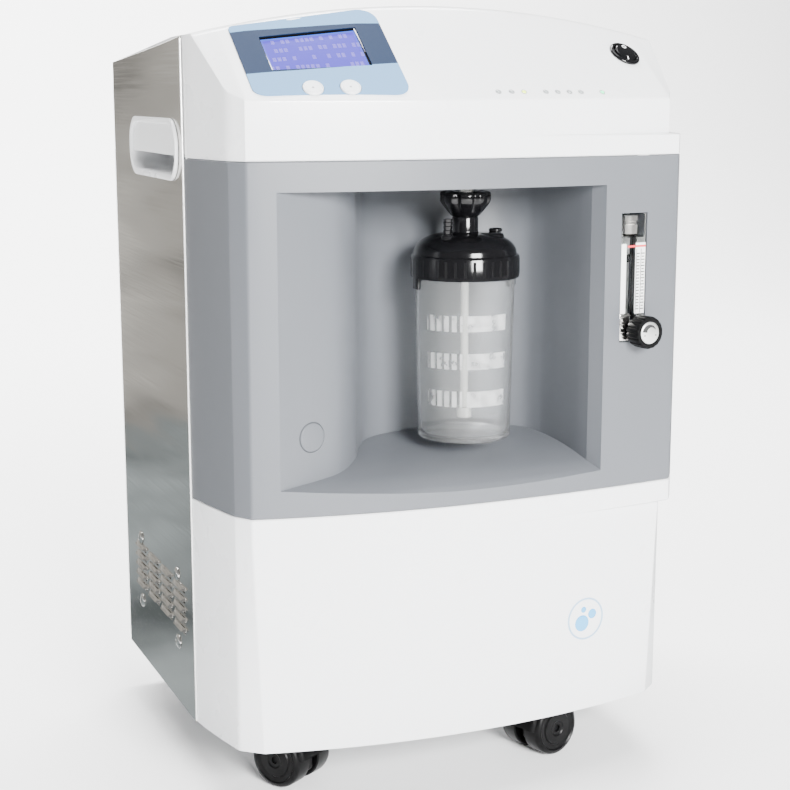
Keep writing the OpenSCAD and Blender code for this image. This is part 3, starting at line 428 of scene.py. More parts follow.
def fine_grain_group():
    """Small bumps, cloudy gloss and faint handling marks, with their sizes as inputs."""
    name = "Fine grain"
    if name in bpy.data.node_groups:
        return bpy.data.node_groups[name]
    group, given, out = node_group(
        name,
        [("Colour", "NodeSocketColor", (0.8, 0.8, 0.8, 1)), ("Gloss", "NodeSocketFloat", 0.3),
         ("Gloss spread", "NodeSocketFloat", 0.1), ("Grain scale", "NodeSocketFloat", 900.0),
         ("Grain depth", "NodeSocketFloat", 0.1), ("Marks", "NodeSocketFloat", 0.05)],
        [("Colour", "NodeSocketColor"), ("Roughness", "NodeSocketFloat"), ("Normal", "NodeSocketVector")])
    nodes, links = group.nodes, group.links
    place = nodes.new("ShaderNodeTexCoord")
    grain = nodes.new("ShaderNodeTexNoise")
    grain.inputs["Detail"].default_value = 3.0
    links.new(place.outputs["Object"], grain.inputs["Vector"])
    links.new(given.outputs["Grain scale"], grain.inputs["Scale"])
    clouds = nodes.new("ShaderNodeTexNoise")
    clouds.inputs["Scale"].default_value = 14.0
    clouds.inputs["Detail"].default_value = 5.0
    links.new(place.outputs["Object"], clouds.inputs["Vector"])
    spread = nodes.new("ShaderNodeMapRange")
    spread.inputs["From Min"].default_value = 0.3
    spread.inputs["From Max"].default_value = 0.7
    links.new(clouds.outputs["Fac"], spread.inputs["Value"])
    low = nodes.new("ShaderNodeMath")
    low.operation = "SUBTRACT"
    links.new(given.outputs["Gloss"], low.inputs[0])
    links.new(given.outputs["Gloss spread"], low.inputs[1])
    high = nodes.new("ShaderNodeMath")
    high.operation = "ADD"
    links.new(given.outputs["Gloss"], high.inputs[0])
    links.new(given.outputs["Gloss spread"], high.inputs[1])
    links.new(low.outputs[0], spread.inputs["To Min"])
    links.new(high.outputs[0], spread.inputs["To Max"])
    links.new(spread.outputs["Result"], out.inputs["Roughness"])
    marks = nodes.new("ShaderNodeMath")
    marks.operation = "MULTIPLY"
    links.new(clouds.outputs["Fac"], marks.inputs[0])
    links.new(given.outputs["Marks"], marks.inputs[1])
    tint = nodes.new("ShaderNodeMix")
    tint.data_type = "RGBA"
    tint.blend_type = "MULTIPLY"
    tint.inputs["B"].default_value = (0.72, 0.70, 0.66, 1)
    links.new(marks.outputs[0], tint.inputs["Factor"])
    links.new(given.outputs["Colour"], tint.inputs["A"])
    links.new(tint.outputs["Result"], out.inputs["Colour"])
    bump = nodes.new("ShaderNodeBump")
    bump.inputs["Distance"].default_value = 0.0002
    links.new(given.outputs["Grain depth"], bump.inputs["Strength"])
    links.new(grain.outputs["Fac"], bump.inputs["Height"])
    links.new(bump.outputs["Normal"], out.inputs["Normal"])
    return group


def new_finish(name):
    """A material with its Principled shader."""
    look = bpy.data.materials.new(name)
    look.use_nodes = True
    return look, look.node_tree.nodes, look.node_tree.links, look.node_tree.nodes["Principled BSDF"]


def moulded(name, colour, gloss, spread=0.06, scale=900.0, depth=0.1, marks=0.05,
            coat=0.0, metal=0.0, shine=0.5):
    """A moulded or cast surface with fine grain."""
    if name in bpy.data.materials:
        return bpy.data.materials[name]
    look, nodes, links, shader = new_finish(name)
    grain = nodes.new("ShaderNodeGroup")
    grain.node_tree = fine_grain_group()
    grain.inputs["Colour"].default_value = (*colour, 1)
    grain.inputs["Gloss"].default_value = gloss
    grain.inputs["Gloss spread"].default_value = spread
    grain.inputs["Grain scale"].default_value = scale
    grain.inputs["Grain depth"].default_value = depth
    grain.inputs["Marks"].default_value = marks
    links.new(grain.outputs["Colour"], shader.inputs["Base Color"])
    links.new(grain.outputs["Roughness"], shader.inputs["Roughness"])
    links.new(grain.outputs["Normal"], shader.inputs["Normal"])
    shader.inputs["Coat Weight"].default_value = coat
    shader.inputs["Coat Roughness"].default_value = 0.08
    shader.inputs["Metallic"].default_value = metal
    shader.inputs["Specular IOR Level"].default_value = shine
    return look


def printed(name, colour, gloss=0.5):
    """Flat print on a plastic or a card."""
    return moulded(name, colour, gloss, 0.05, 600.0, 0.05, 0.0)


def clear(name, colour, gloss, ior):
    """A clear moulding with a slightly uneven surface."""
    look = moulded(name, colour, gloss, 0.02, 60.0, 0.25, 0.0)
    shader = look.node_tree.nodes["Principled BSDF"]
    shader.inputs["Transmission Weight"].default_value = 1.0
    shader.inputs["IOR"].default_value = ior
    return look


def mirror_steel(name, colour):
    """Polished sheet steel: broad waves bend its reflections, and hairlines run along it."""
    if name in bpy.data.materials:
        return bpy.data.materials[name]
    look, nodes, links, shader = new_finish(name)
    place = nodes.new("ShaderNodeTexCoord")
    stretch = nodes.new("ShaderNodeMapping")
    stretch.inputs["Scale"].default_value = (1.0, 1.1, 5.0)
    links.new(place.outputs["Object"], stretch.inputs["Vector"])
    waves = nodes.new("ShaderNodeTexNoise")
    waves.inputs["Scale"].default_value = 3.2
    waves.inputs["Detail"].default_value = 1.0
    links.new(stretch.outputs["Vector"], waves.inputs["Vector"])
    lines = nodes.new("ShaderNodeMapping")
    lines.inputs["Scale"].default_value = (300.0, 12.0, 900.0)
    links.new(place.outputs["Object"], lines.inputs["Vector"])
    hair = nodes.new("ShaderNodeTexNoise")
    hair.inputs["Scale"].default_value = 1.0
    hair.inputs["Detail"].default_value = 2.0
    links.new(lines.outputs["Vector"], hair.inputs["Vector"])
    swell = nodes.new("ShaderNodeBump")
    swell.inputs["Strength"].default_value = 0.4
    swell.inputs["Distance"].default_value = 0.006
    links.new(waves.outputs["Fac"], swell.inputs["Height"])
    scratch = nodes.new("ShaderNodeBump")
    scratch.inputs["Strength"].default_value = 0.03
    scratch.inputs["Distance"].default_value = 0.0001
    links.new(hair.outputs["Fac"], scratch.inputs["Height"])
    links.new(swell.outputs["Normal"], scratch.inputs["Normal"])
    links.new(scratch.outputs["Normal"], shader.inputs["Normal"])
    dull = nodes.new("ShaderNodeMapRange")
    dull.inputs["From Min"].default_value = 0.35
    dull.inputs["From Max"].default_value = 0.75
    dull.inputs["To Min"].default_value = 0.09
    dull.inputs["To Max"].default_value = 0.2
    links.new(hair.outputs["Fac"], dull.inputs["Value"])
    links.new(dull.outputs["Result"], shader.inputs["Roughness"])
    tone = nodes.new("ShaderNodeMix")
    tone.data_type = "RGBA"
    tone.inputs["A"].default_value = (*colour, 1)
    tone.inputs["B"].default_value = (*(c * 0.8 for c in colour), 1)
    links.new(waves.outputs["Fac"], tone.inputs["Factor"])
    links.new(tone.outputs["Result"], shader.inputs["Base Color"])
    shader.inputs["Metallic"].default_value = 1.0
    return look


def step_node(nodes, links, value, edge, width=0.004):
    """0 below an edge and 1 above it, with a soft step between."""
    step = nodes.new("ShaderNodeMapRange")
    step.inputs["From Min"].default_value = edge - width
    step.inputs["From Max"].default_value = edge + width
    links.new(value, step.inputs["Value"])
    return step.outputs["Result"]


def maths(nodes, links, operation, a, b=None):
    """One Math node; a and b are sockets or numbers."""
    node = nodes.new("ShaderNodeMath")
    node.operation = operation
    for socket, value in zip(node.inputs, (a, b)):
        if value is None:
            continue
        if isinstance(value, (int, float)):
            socket.default_value = value
        else:
            links.new(value, socket)
    return node.outputs[0]


def film_finish(light, dark):
    """The keypad film: pale blue, with a dark band behind the display."""
    look, nodes, links, shader = new_finish("Keypad film")
    uv = nodes.new("ShaderNodeUVMap")
    uv.uv_map = "Film"
    split = nodes.new("ShaderNodeSeparateXYZ")
    links.new(uv.outputs["UV"], split.inputs["Vector"])
    foot = maths(nodes, links, "MULTIPLY_ADD", split.outputs["X"], 0.05)
    foot.node.inputs[2].default_value = 0.312
    head = maths(nodes, links, "MULTIPLY_ADD", split.outputs["X"], -0.08)
    head.node.inputs[2].default_value = 0.872
    above = maths(nodes, links, "GREATER_THAN", split.outputs["Y"], foot)
    below = maths(nodes, links, "LESS_THAN", split.outputs["Y"], head)
    band = maths(nodes, links, "MULTIPLY", above, below)
    grain = nodes.new("ShaderNodeTexNoise")
    grain.inputs["Scale"].default_value = 700.0
    place = nodes.new("ShaderNodeTexCoord")
    links.new(place.outputs["Object"], grain.inputs["Vector"])
    colour = nodes.new("ShaderNodeMix")
    colour.data_type = "RGBA"
    colour.inputs["A"].default_value = (*light, 1)
    colour.inputs["B"].default_value = (*dark, 1)
    links.new(band, colour.inputs["Factor"])
    links.new(colour.outputs["Result"], shader.inputs["Base Color"])
    rough = nodes.new("ShaderNodeMapRange")
    rough.inputs["To Min"].default_value = 0.45
    rough.inputs["To Max"].default_value = 0.6
    shader.inputs["Specular IOR Level"].default_value = 0.1
    links.new(grain.outputs["Fac"], rough.inputs["Value"])
    links.new(rough.outputs["Result"], shader.inputs["Roughness"])
    bump = nodes.new("ShaderNodeBump")
    bump.inputs["Strength"].default_value = 0.08
    bump.inputs["Distance"].default_value = 0.0001
    links.new(grain.outputs["Fac"], bump.inputs["Height"])
    links.new(bump.outputs["Normal"], shader.inputs["Normal"])
    return look


def screen_finish(colour):
    """The lit display: violet-blue, with rows of light dashes that form no letters."""
    look, nodes, links, shader = new_finish("Display glass")
    uv = nodes.new("ShaderNodeUVMap")
    uv.uv_map = "Film"
    split = nodes.new("ShaderNodeSeparateXYZ")
    links.new(uv.outputs["UV"], split.inputs["Vector"])
    rows = maths(nodes, links, "MULTIPLY", split.outputs["Y"], 4.0)
    row_part = maths(nodes, links, "FRACT", rows)
    columns = maths(nodes, links, "MULTIPLY", split.outputs["X"], 20.0)
    column_part = maths(nodes, links, "FRACT", columns)
    row_no = maths(nodes, links, "FLOOR", rows)
    column_no = maths(nodes, links, "FLOOR", columns)
    cell = nodes.new("ShaderNodeCombineXYZ")
    links.new(column_no, cell.inputs["X"])
    links.new(row_no, cell.inputs["Y"])
    chance = nodes.new("ShaderNodeTexWhiteNoise")
    chance.noise_dimensions = "3D"
    links.new(cell.outputs["Vector"], chance.inputs["Vector"])
    filled = maths(nodes, links, "GREATER_THAN", chance.outputs["Value"], 0.42)
    tall = maths(nodes, links, "MULTIPLY", maths(nodes, links, "GREATER_THAN", row_part, 0.3),
                 maths(nodes, links, "LESS_THAN", row_part, 0.74))
    wide = maths(nodes, links, "MULTIPLY", maths(nodes, links, "GREATER_THAN", column_part, 0.14),
                 maths(nodes, links, "LESS_THAN", column_part, 0.82))
    dots = nodes.new("ShaderNodeTexNoise")
    dots.inputs["Scale"].default_value = 160.0
    links.new(uv.outputs["UV"], dots.inputs["Vector"])
    broken = maths(nodes, links, "GREATER_THAN", dots.outputs["Fac"], 0.47)
    dash = maths(nodes, links, "MULTIPLY", maths(nodes, links, "MULTIPLY", tall, wide),
                 maths(nodes, links, "MULTIPLY", filled, broken))
    edge_x = maths(nodes, links, "ABSOLUTE", maths(nodes, links, "SUBTRACT", split.outputs["X"], 0.5))
    edge_y = maths(nodes, links, "ABSOLUTE", maths(nodes, links, "SUBTRACT", split.outputs["Y"], 0.5))
    rim = maths(nodes, links, "MAXIMUM", step_node(nodes, links, edge_x, 0.485, 0.02),
                step_node(nodes, links, edge_y, 0.475, 0.03))
    lit = nodes.new("ShaderNodeMix")
    lit.data_type = "RGBA"
    lit.inputs["A"].default_value = (*colour, 1)
    lit.inputs["B"].default_value = (0.40, 0.30, 0.95, 1)
    links.new(maths(nodes, links, "MULTIPLY", dash, 0.62), lit.inputs["Factor"])
    rimmed = nodes.new("ShaderNodeMix")
    rimmed.data_type = "RGBA"
    rimmed.inputs["B"].default_value = (0.1, 0.3, 0.95, 1)
    links.new(maths(nodes, links, "MULTIPLY", rim, 0.6), rimmed.inputs["Factor"])
    links.new(lit.outputs["Result"], rimmed.inputs["A"])
    links.new(rimmed.outputs["Result"], shader.inputs["Emission Color"])
    shader.inputs["Emission Strength"].default_value = 2.4
    shader.inputs["Base Color"].default_value = (0.004, 0.004, 0.02, 1)
    shader.inputs["Roughness"].default_value = 0.3
    shader.inputs["Specular IOR Level"].default_value = 0.12
    return look


PRINT_LOW = 0.296
PRINT_PITCH = 0.028


def jar_finish():
    """Clear jar with a frosted print of graduation bands round its front."""
    look = clear("Jar plastic", (0.94, 0.95, 0.95), 0.06, 1.3)
    nodes, links = look.node_tree.nodes, look.node_tree.links
    shader = nodes["Principled BSDF"]
    place = nodes.new("ShaderNodeTexCoord")
    split = nodes.new("ShaderNodeSeparateXYZ")
    links.new(place.outputs["Object"], split.inputs["Vector"])
    place_x = maths(nodes, links, "SUBTRACT", split.outputs["X"], BOTTLE.x * MM)
    place_y = maths(nodes, links, "SUBTRACT", split.outputs["Y"], BOTTLE.y * MM)
    bearing = maths(nodes, links, "ARCTAN2", place_y, place_x)
    height = maths(nodes, links, "SUBTRACT", split.outputs["Z"], PRINT_LOW)
    level = maths(nodes, links, "MULTIPLY", height, 1 / PRINT_PITCH)
    rows = maths(nodes, links, "MULTIPLY",
                 maths(nodes, links, "LESS_THAN", maths(nodes, links, "FRACT", level), 0.42),
                 maths(nodes, links, "MULTIPLY", maths(nodes, links, "GREATER_THAN", level, 0.0),
                       maths(nodes, links, "LESS_THAN", level, 3.0)))
    bar = maths(nodes, links, "MULTIPLY", maths(nodes, links, "GREATER_THAN", bearing, -1.95),
                maths(nodes, links, "LESS_THAN", bearing, -1.05))
    dashes = maths(nodes, links, "MULTIPLY",
                   maths(nodes, links, "MULTIPLY", maths(nodes, links, "GREATER_THAN", bearing, -2.85),
                         maths(nodes, links, "LESS_THAN", bearing, -2.05)),
                   maths(nodes, links, "GREATER_THAN",
                         maths(nodes, links, "FRACT", maths(nodes, links, "MULTIPLY", bearing, 6.0)), 0.4))
    cloud = nodes.new("ShaderNodeTexNoise")
    cloud.inputs["Scale"].default_value = 120.0
    cloud.inputs["Detail"].default_value = 4.0
    links.new(place.outputs["Object"], cloud.inputs["Vector"])
    worn = step_node(nodes, links, cloud.outputs["Fac"], 0.42, 0.15)
    printed = maths(nodes, links, "MULTIPLY", maths(nodes, links, "MULTIPLY", rows, worn),
                    maths(nodes, links, "MAXIMUM", bar, dashes))
    frosted = nodes.new("ShaderNodeMapRange")
    frosted.inputs["To Min"].default_value = 0.12
    frosted.inputs["To Max"].default_value = 0.5
    links.new(printed, frosted.inputs["Value"])
    links.new(frosted.outputs["Result"], shader.inputs["Roughness"])
    milky = nodes.new("ShaderNodeMapRange")
    milky.inputs["To Min"].default_value = 0.96
    milky.inputs["To Max"].default_value = 0.7
    links.new(printed, milky.inputs["Value"])
    links.new(milky.outputs["Result"], shader.inputs["Transmission Weight"])
    return look


def lit_lens(name, colour, strength):
    """A small lens over a lit lamp."""
    look = moulded(name, colour, 0.2, 0.04, 500.0, 0.05, 0.0)
    shader = look.node_tree.nodes["Principled BSDF"]
    shader.inputs["Emission Color"].default_value = (*colour, 1)
    shader.inputs["Emission Strength"].default_value = strength
    return look


# ---------- settings ----------
def colour_setting(name, description, default):
    return bpy.props.FloatVectorProperty(name=name, description=description, subtype="COLOR",
                                         size=3, min=0.0, max=1.0, default=default)


def length_setting(name, description, default):
    return bpy.props.FloatProperty(name=name, description=description, default=default,
                                   min=0.0, unit="LENGTH", precision=4)


class ConcentratorSizes(bpy.types.PropertyGroup):
    """Sizes of the details that the frame doesn't hold."""

    cover_wall: length_setting("Cover wall", "Wall of the moulded covers", 0.003)
    edge_radius: length_setting("Edge radius", "Rounding of the moulded covers' edges", 0.0014)
    steel_sheet: length_setting("Steel sheet", "Thickness of the side panels", 0.0012)
    film: length_setting("Film", "Thickness of the keypad film", 0.0005)
    nut_flutes: bpy.props.IntProperty(name="Nut flutes", description="Grips round the wing nut",
                                      default=8, min=3)
    knob_flutes: bpy.props.IntProperty(name="Knob flutes", description="Grips round the flow knob",
                                       default=18, min=6)


class ConcentratorColours(bpy.types.PropertyGroup):
    """Colours of the visible pieces."""

    white: colour_setting("White covers", "Gloss white plastic", (0.80, 0.81, 0.82))
    grey: colour_setting("Grey cover", "Cool grey satin plastic", (0.098, 0.105, 0.117))
    steel: colour_setting("Steel", "Polished side panels", (0.74, 0.72, 0.68))
    film_light: colour_setting("Film", "Pale blue keypad film", (0.12, 0.25, 0.42))
    film_dark: colour_setting("Display band", "Dark blue band behind the display", (0.003, 0.014, 0.042))
    screen: colour_setting("Display", "Lit display", (0.055, 0.03, 0.62))
    black: colour_setting("Black parts", "Gloss black plastic", (0.003, 0.003, 0.0035))


def sizes():
    return bpy.context.scene.concentrator_sizes


def colours():
    return bpy.context.scene.concentrator_colours


def white_plastic():
    return moulded("White plastic", colours().white, 0.3, 0.05, 700.0, 0.1, 0.05, coat=0.25)


def grey_plastic():
    return moulded("Grey plastic", colours().grey, 0.42, 0.05, 1100.0, 0.22, 0.06, coat=0.08)


def black_gloss():
    return moulded("Black gloss plastic", colours().black, 0.13, 0.04, 300.0, 0.04, 0.0, shine=0.32)


def black_matte():
    return moulded("Black matte plastic", (0.002, 0.002, 0.0022), 0.4, 0.08, 900.0, 0.2, 0.0, shine=0.1)


def plated():
    return moulded("Plated metal", (0.78, 0.77, 0.74), 0.16, 0.05, 200.0, 0.05, 0.05, metal=1.0)


# ---------- covers ----------
def cover_front(x):
    if x <= CORNER.x:
        return bow(x)
    return lookup(x, [(CORNER.x, CORNER.y), (KNEE.x, KNEE.y), (HALF_W - 8, -112.0),
                      (HALF_W - 3, -88.0), (HALF_W - 0.8, COVER_BACK_Y)])


def cover_back(x):
    return lookup(x, [(BACK_CORNER.x, BACK_CORNER.y), (BACK_TURN.x, BACK_TURN.y), (BACK_KNEE.x, BACK_KNEE.y),
                      (BACK_SIDE.x, BACK_SIDE.y), (HALF_W - 0.8, STEEL_HIGH.y + 0.4)])


def front_top(x):
    if x <= CORNER.x:
        return EDGE_Z
    edge = lookup(cover_front(x), [(CORNER.y, EDGE_Z), (KNEE.y, EDGE_Z + 5), (RIDGE_Y, ridge_z(HALF_W))])
    return min(ridge_z(x) - 1, edge)


def console_section(x):
    """Side profile of the top cover at one place across it, from the front's foot to the back's."""
    ax = abs(x)
    front, back = cover_front(ax), cover_back(ax)
    low, top, foot = TOP_LOW.z, ridge_z(x), front_top(ax)
    rear = top - DECK_FALL
    ridge = max(RIDGE_Y, front + 3)
    plan = Vector((x, front))
    out = stepped(plan, LEDGE_OUT)
    step_z = low + LEDGE_H - 2
    slope = [Vector((plan.x, plan.y, step_z + 0.8)), Vector((plan.x, plan.y, foot)),
             Vector((x, ridge, top)), Vector((x, ridge + 30, top - 0.6)), Vector((x, back - 14, rear)),
             Vector((x, back, rear - 18)), Vector((x, back, low))]
    slope = rounded(slope, {1: 3.5, 2: 14.0, 4: 12.0, 5: 12.0}, 5)
    foot_rows = [Vector((out.x, out.y + 0.8, low)), Vector((out.x, out.y, low + 0.8)),
                 Vector((out.x, out.y, step_z - 0.6)),
                 Vector((mix(out.x, x, 0.15), mix(out.y, front, 0.15), step_z))]
    return foot_rows + slope


def console_xs():
    half = [0, 16, 32, 48, 64, 80, 96, 112, 126, 140, 152, 160, CORNER.x - 2, CORNER.x, CORNER.x + 2,
            mix(CORNER.x, KNEE.x, 0.6), KNEE.x - 1, KNEE.x + 0.8, 176, 178, 180, 182, 183.6, 185, 185.9]
    return [-x for x in half[:0:-1]] + half


def build_console():
    bm = bmesh.new()
    xs = console_xs()
    sections = [console_section(x) for x in xs]
    low = TOP_LOW.z
    ends = [[Vector((x, p.y, min(p.z, low + 0.5))) for p in console_section(x)] for x in (xs[0], xs[-1])]
    skin(bm, [ends[0]] + sections + [ends[1]])
    shell = as_object(bm, "top_shell")
    faces_out(shell, ((0, RIDGE_Y + 60, TOP_HIGH.z), (0, 0, 1)))
    thicken(shell, sizes().cover_wall / MM)
    tools = [block((LCD_X[1] - LCD_X[0], 54, 24), on_face(sum(LCD_X) / 2, sum(LCD_V) / 2))]
    tools += [rod(BUTTON_R + 0.3, 12, 48, on_face(*place)) for place in BUTTON_PLACES.values()]
    tools.append(rod(SWITCH_R - 1.4, 15, 48, on_face(*SWITCH_PLACE)))
    tools += [rod(1.7, 9, 24, on_face(x, LED_V)) for x in LED_XS]
    carve(shell, gather(*tools))
    finish_piece(shell, "root", white_plastic(), ["top_cover"], 28)


def lower_ring(z, inset=0.0, out=0.0):
    """A level of the lower cover, whose corners widen towards its foot."""
    t = min(1.0, max(0.0, (z - SKIRT_Z) / (LOWER_HIGH.z - LEDGE_H - SKIRT_Z)))
    return ring(z, inset, out, FOOT_CORNER.lerp(CORNER, t), mix(FOOT_Y, FRONT_Y, t))


def build_lower_cover():
    bm = bmesh.new()
    top = LOWER_HIGH.z
    step = top - LEDGE_H
    levels = [lower_ring(SKIRT_Z, 1.6), lower_ring(SKIRT_Z + 0.5, 0.5), lower_ring(SKIRT_Z + 1.8)]
    levels += [lower_ring(z) for z in (mix(SKIRT_Z + 2, step, k / 5) for k in range(1, 5))]
    levels += [lower_ring(step - 0.4), lower_ring(step + 0.1, 0, LEDGE_OUT * 0.85),
               lower_ring(step + 0.9, 0, LEDGE_OUT), lower_ring(top - 0.9, 0, LEDGE_OUT),
               lower_ring(top, 0.7, LEDGE_OUT), lower_ring(top, 2.5, LEDGE_OUT)]
    skin(bm, levels)
    shell = as_object(bm, "lower_shell")
    faces_out(shell, ((0, FRONT_Y, 140), (0, -1, 0)))
    thicken(shell, sizes().cover_wall / MM)
    finish_piece(shell, "root", white_plastic(), ["front_cover_lower"], 28)


ALCOVE_WALL = [(-119, -149.4), (-94, -139.5), (-75, -120), (-62, -95), (-46, -75), (-18, -65),
               (20, -62), (58, -66), (80, -78), (89, -95), (94, -122), (97, -144)]
ALCOVE_FLOOR = [(-173, 239.5), (-165, 245), (-149, 251.5), (-116, 258.5), (-55, 265)]


def alcove_tool():
    """The alcove's open space, to be cut out of the grey cover."""
    plan = ([(-148.5, -215), (-145.5, -156.6)] + smooth_path(ALCOVE_WALL, 8)
            + rounded_all([(97, -144), (99, -156), (104.8, -167.5), (105.5, -215)], 3.0)[1:])
    column = as_object(prism(plan, 205, CEILING_Z), "alcove")
    side = ([(-215, 238)] + smooth_path(ALCOVE_FLOOR, 8)
            + [(-30, 265), (-30, CEILING_Z + 10), (-215, CEILING_Z + 10)])
    carve(column, prism(side, -180, 140, SIDEWAYS), operation="INTERSECT")
    return column


def build_band_cover():
    low, high = BAND_LOW.z, BAND_HIGH.z
    back = -40.0
    levels = []
    for z, inset in ((low, 0.7), (low + 0.7, 0.0), (high - 0.7, 0.0), (high, 0.7)):
        line = ring(z, inset, LEDGE_OUT)
        levels.append([Vector((line[0].x, back, z))] + line + [Vector((line[-1].x, back, z))])
    bm = bmesh.new()
    skin(bm, levels, closed=True)
    cap_ends(bm)
    shell = as_object(bm, "grey_shell")
    alcove = alcove_tool()
    cut = shell.modifiers.new("Alcove", "BOOLEAN")
    cut.solver = "EXACT"
    cut.object = alcove
    settle(shell)
    bpy.data.objects.remove(alcove)
    window = block((METER_HIGH.x - METER_LOW.x - 1.6, 60, METER_HIGH.z - METER_LOW.z + 0.6),
                   at_meter() @ Matrix.Translation((0, 0, (METER_LOW.z + METER_HIGH.z) / 2)))
    carve(shell, window, rod(11.0, 9, 64, at_plug()))
    drop_back_faces(shell, low, high)
    thicken(shell, sizes().cover_wall / MM)
    finish_piece(shell, "root", grey_plastic(), ["front_cover_middle"], 28)


ALCOVE_BACK_Y = -50
METER_SPACE_X = 106
METER_SPACE_Y = -101


def drop_back_faces(shell, low, high):
    """Leaves the front and the alcove's walls of the solid band, as an open sheet."""
    bm = bmesh.new()
    bm.from_mesh(shell.data)

    def behind(face):
        ys = [v.co.y / MM for v in face.verts]
        zs = [v.co.z / MM for v in face.verts]
        on_cap = max(zs) < low + 0.05 or min(zs) > high - 0.05
        past_alcove = face.calc_center_median().x / MM > METER_SPACE_X
        return on_cap or max(ys) > ALCOVE_BACK_Y or (past_alcove and min(ys) > METER_SPACE_Y)

    bmesh.ops.delete(bm, geom=[f for f in bm.faces if behind(f)], context="FACES")
    bm.to_mesh(shell.data)
    bm.free()


def build_rear_cover():
    low, high = BACK_LOW.z, BACK_HIGH.z
    levels = [back_ring(low, 6), back_ring(low, 1.2), back_ring(low + 1.2), back_ring(mix(low, high, 0.5)),
              back_ring(high - 0.8), back_ring(high, 0.8), back_ring(high, 2.4)]
    bm = bmesh.new()
    skin(bm, levels)
    shell = as_object(bm, "rear_shell")
    faces_out(shell, ((0, BACK_Y, 250), (0, 1, 0)))
    thicken(shell, sizes().cover_wall / MM)
    door_low, door_high = node_box("filter_door")
    inlet_low, inlet_high = node_box("power_inlet")
    door = (door_low + door_high) / 2
    inlet = (inlet_low + inlet_high) / 2
    tools = [block((door_high.x - door_low.x + 0.6, 30, door_high.z - door_low.z + 0.6),
                   Matrix.Translation((door.x, BACK_Y, door.z))),
             block((28, 30, 48), Matrix.Translation((inlet.x, BACK_Y, inlet.z)))]
    for i in range(-5, 6):
        tools.append(block((6, 20, 60), Matrix.Translation((-45 + 12 * i, BACK_Y, 125)), 2.5, 3))
    carve(shell, gather(*tools))
    tray = block((door_high.x - door_low.x + 6, 19, door_high.z - door_low.z + 6),
                 Matrix.Translation((door.x, BACK_Y - 12.2, door.z)))
    back_face = max(tray.faces, key=lambda f: f.calc_center_median().y)
    bmesh.ops.delete(tray, geom=[back_face], context="FACES_ONLY")
    pocket = as_object(tray, "filter_pocket")
    thicken(pocket, 2.0)
    for obj in (shell, pocket):
        finish_piece(obj, "root", white_plastic(), ["rear_cover"], 28)


# ---------- steel sides ----------
LOUVRE_Y0 = -35.5
LOUVRE_Z0 = 117.0
LOUVRE_PITCH = (39.5, 8.2)
LOUVRES = [(LOUVRE_Y0 + LOUVRE_PITCH[0] * i, LOUVRE_Z0 + LOUVRE_PITCH[1] * j)
           for i in range(4) for j in range(5)]
def side_outline():
    y0, y1 = STEEL_LOW.y, STEEL_HIGH.y
    high = ridge_z(HALF_W) - 0.3
    top = [Vector((mix(y1, y0, k / 16), high - DECK_FALL * (1 - k / 16) ** 0.9)) for k in range(17)]
    return [Vector((y0, SKIRT_Z)), Vector((y1, SKIRT_Z))] + top


def louvre(y, z, sign):
    """A pressed hood over one slot, closed at both ends."""
    def profile(offset, rise):
        shape = ((-0.1, 3.4), (1.2, 2.9), (2.5, 1.6), (3.0, 0.4), (2.5, 0.2), (2.0, 1.3), (0.9, 2.2),
                 (-0.1, 2.6))
        return [Vector((sign * (HALF_W + d * rise), y + offset, z + h)) for d, h in shape]
    bm = bmesh.new()
    skin(bm, [profile(-15.5, 0.05), profile(-12.5, 0.85), profile(-11.8, 1.0), profile(11.8, 1.0),
              profile(12.5, 0.85), profile(15.5, 0.05)], closed=True)
    cap_ends(bm)
    return bm


def build_steel_side(side, sign):
    steel = mirror_steel("Polished steel", colours().steel)
    sheet = sizes().steel_sheet / MM
    x0, x1 = sorted((sign * (HALF_W - sheet), sign * HALF_W))
    panel = as_object(prism(side_outline(), x0, x1, SIDEWAYS), f"steel_side_{side}")
    cup_y, cup_z = (CUP_LOW.y + CUP_HIGH.y) / 2, (CUP_LOW.z + CUP_HIGH.z) / 2
    hole = prism(rect_outline(138, 39, 17), -10, 10,
                 Matrix.Translation((sign * HALF_W, cup_y, cup_z)) @ SIDEWAYS)
    slots = [block((10, 27, 4.2), Matrix.Translation((sign * HALF_W, y, z))) for y, z in LOUVRES]
    carve(panel, gather(hole, *slots))
    soften(panel, 0.25, 1, 60)
    hoods = gather(*(louvre(y, z, sign) for y, z in LOUVRES))
    hoods = as_object(hoods, f"louvre_hoods_{side}")
    for obj in (panel, hoods):
        finish_piece(obj, "root", steel, [f"side_panel_{side}"], 28)


def build_bead(side, sign):
    """The bright strip between a steel side and the covers."""
    low, high = SKIRT_Z + 1.5, ridge_z(HALF_W) - 1.5
    middle = (sign * (HALF_W - 0.35), STEEL_LOW.y - 1.1, (low + high) / 2)
    strip = block((1.5, 1.7, high - low), Matrix.Translation(middle), 0.6, 3)
    look = moulded("Bead metal", (0.86, 0.86, 0.85), 0.25, 0.05, 200.0, 0.05, 0.0, metal=0.3)
    finish_piece(as_object(strip, f"bead_{side}"), "root", look, ["edge_trims"], 30)


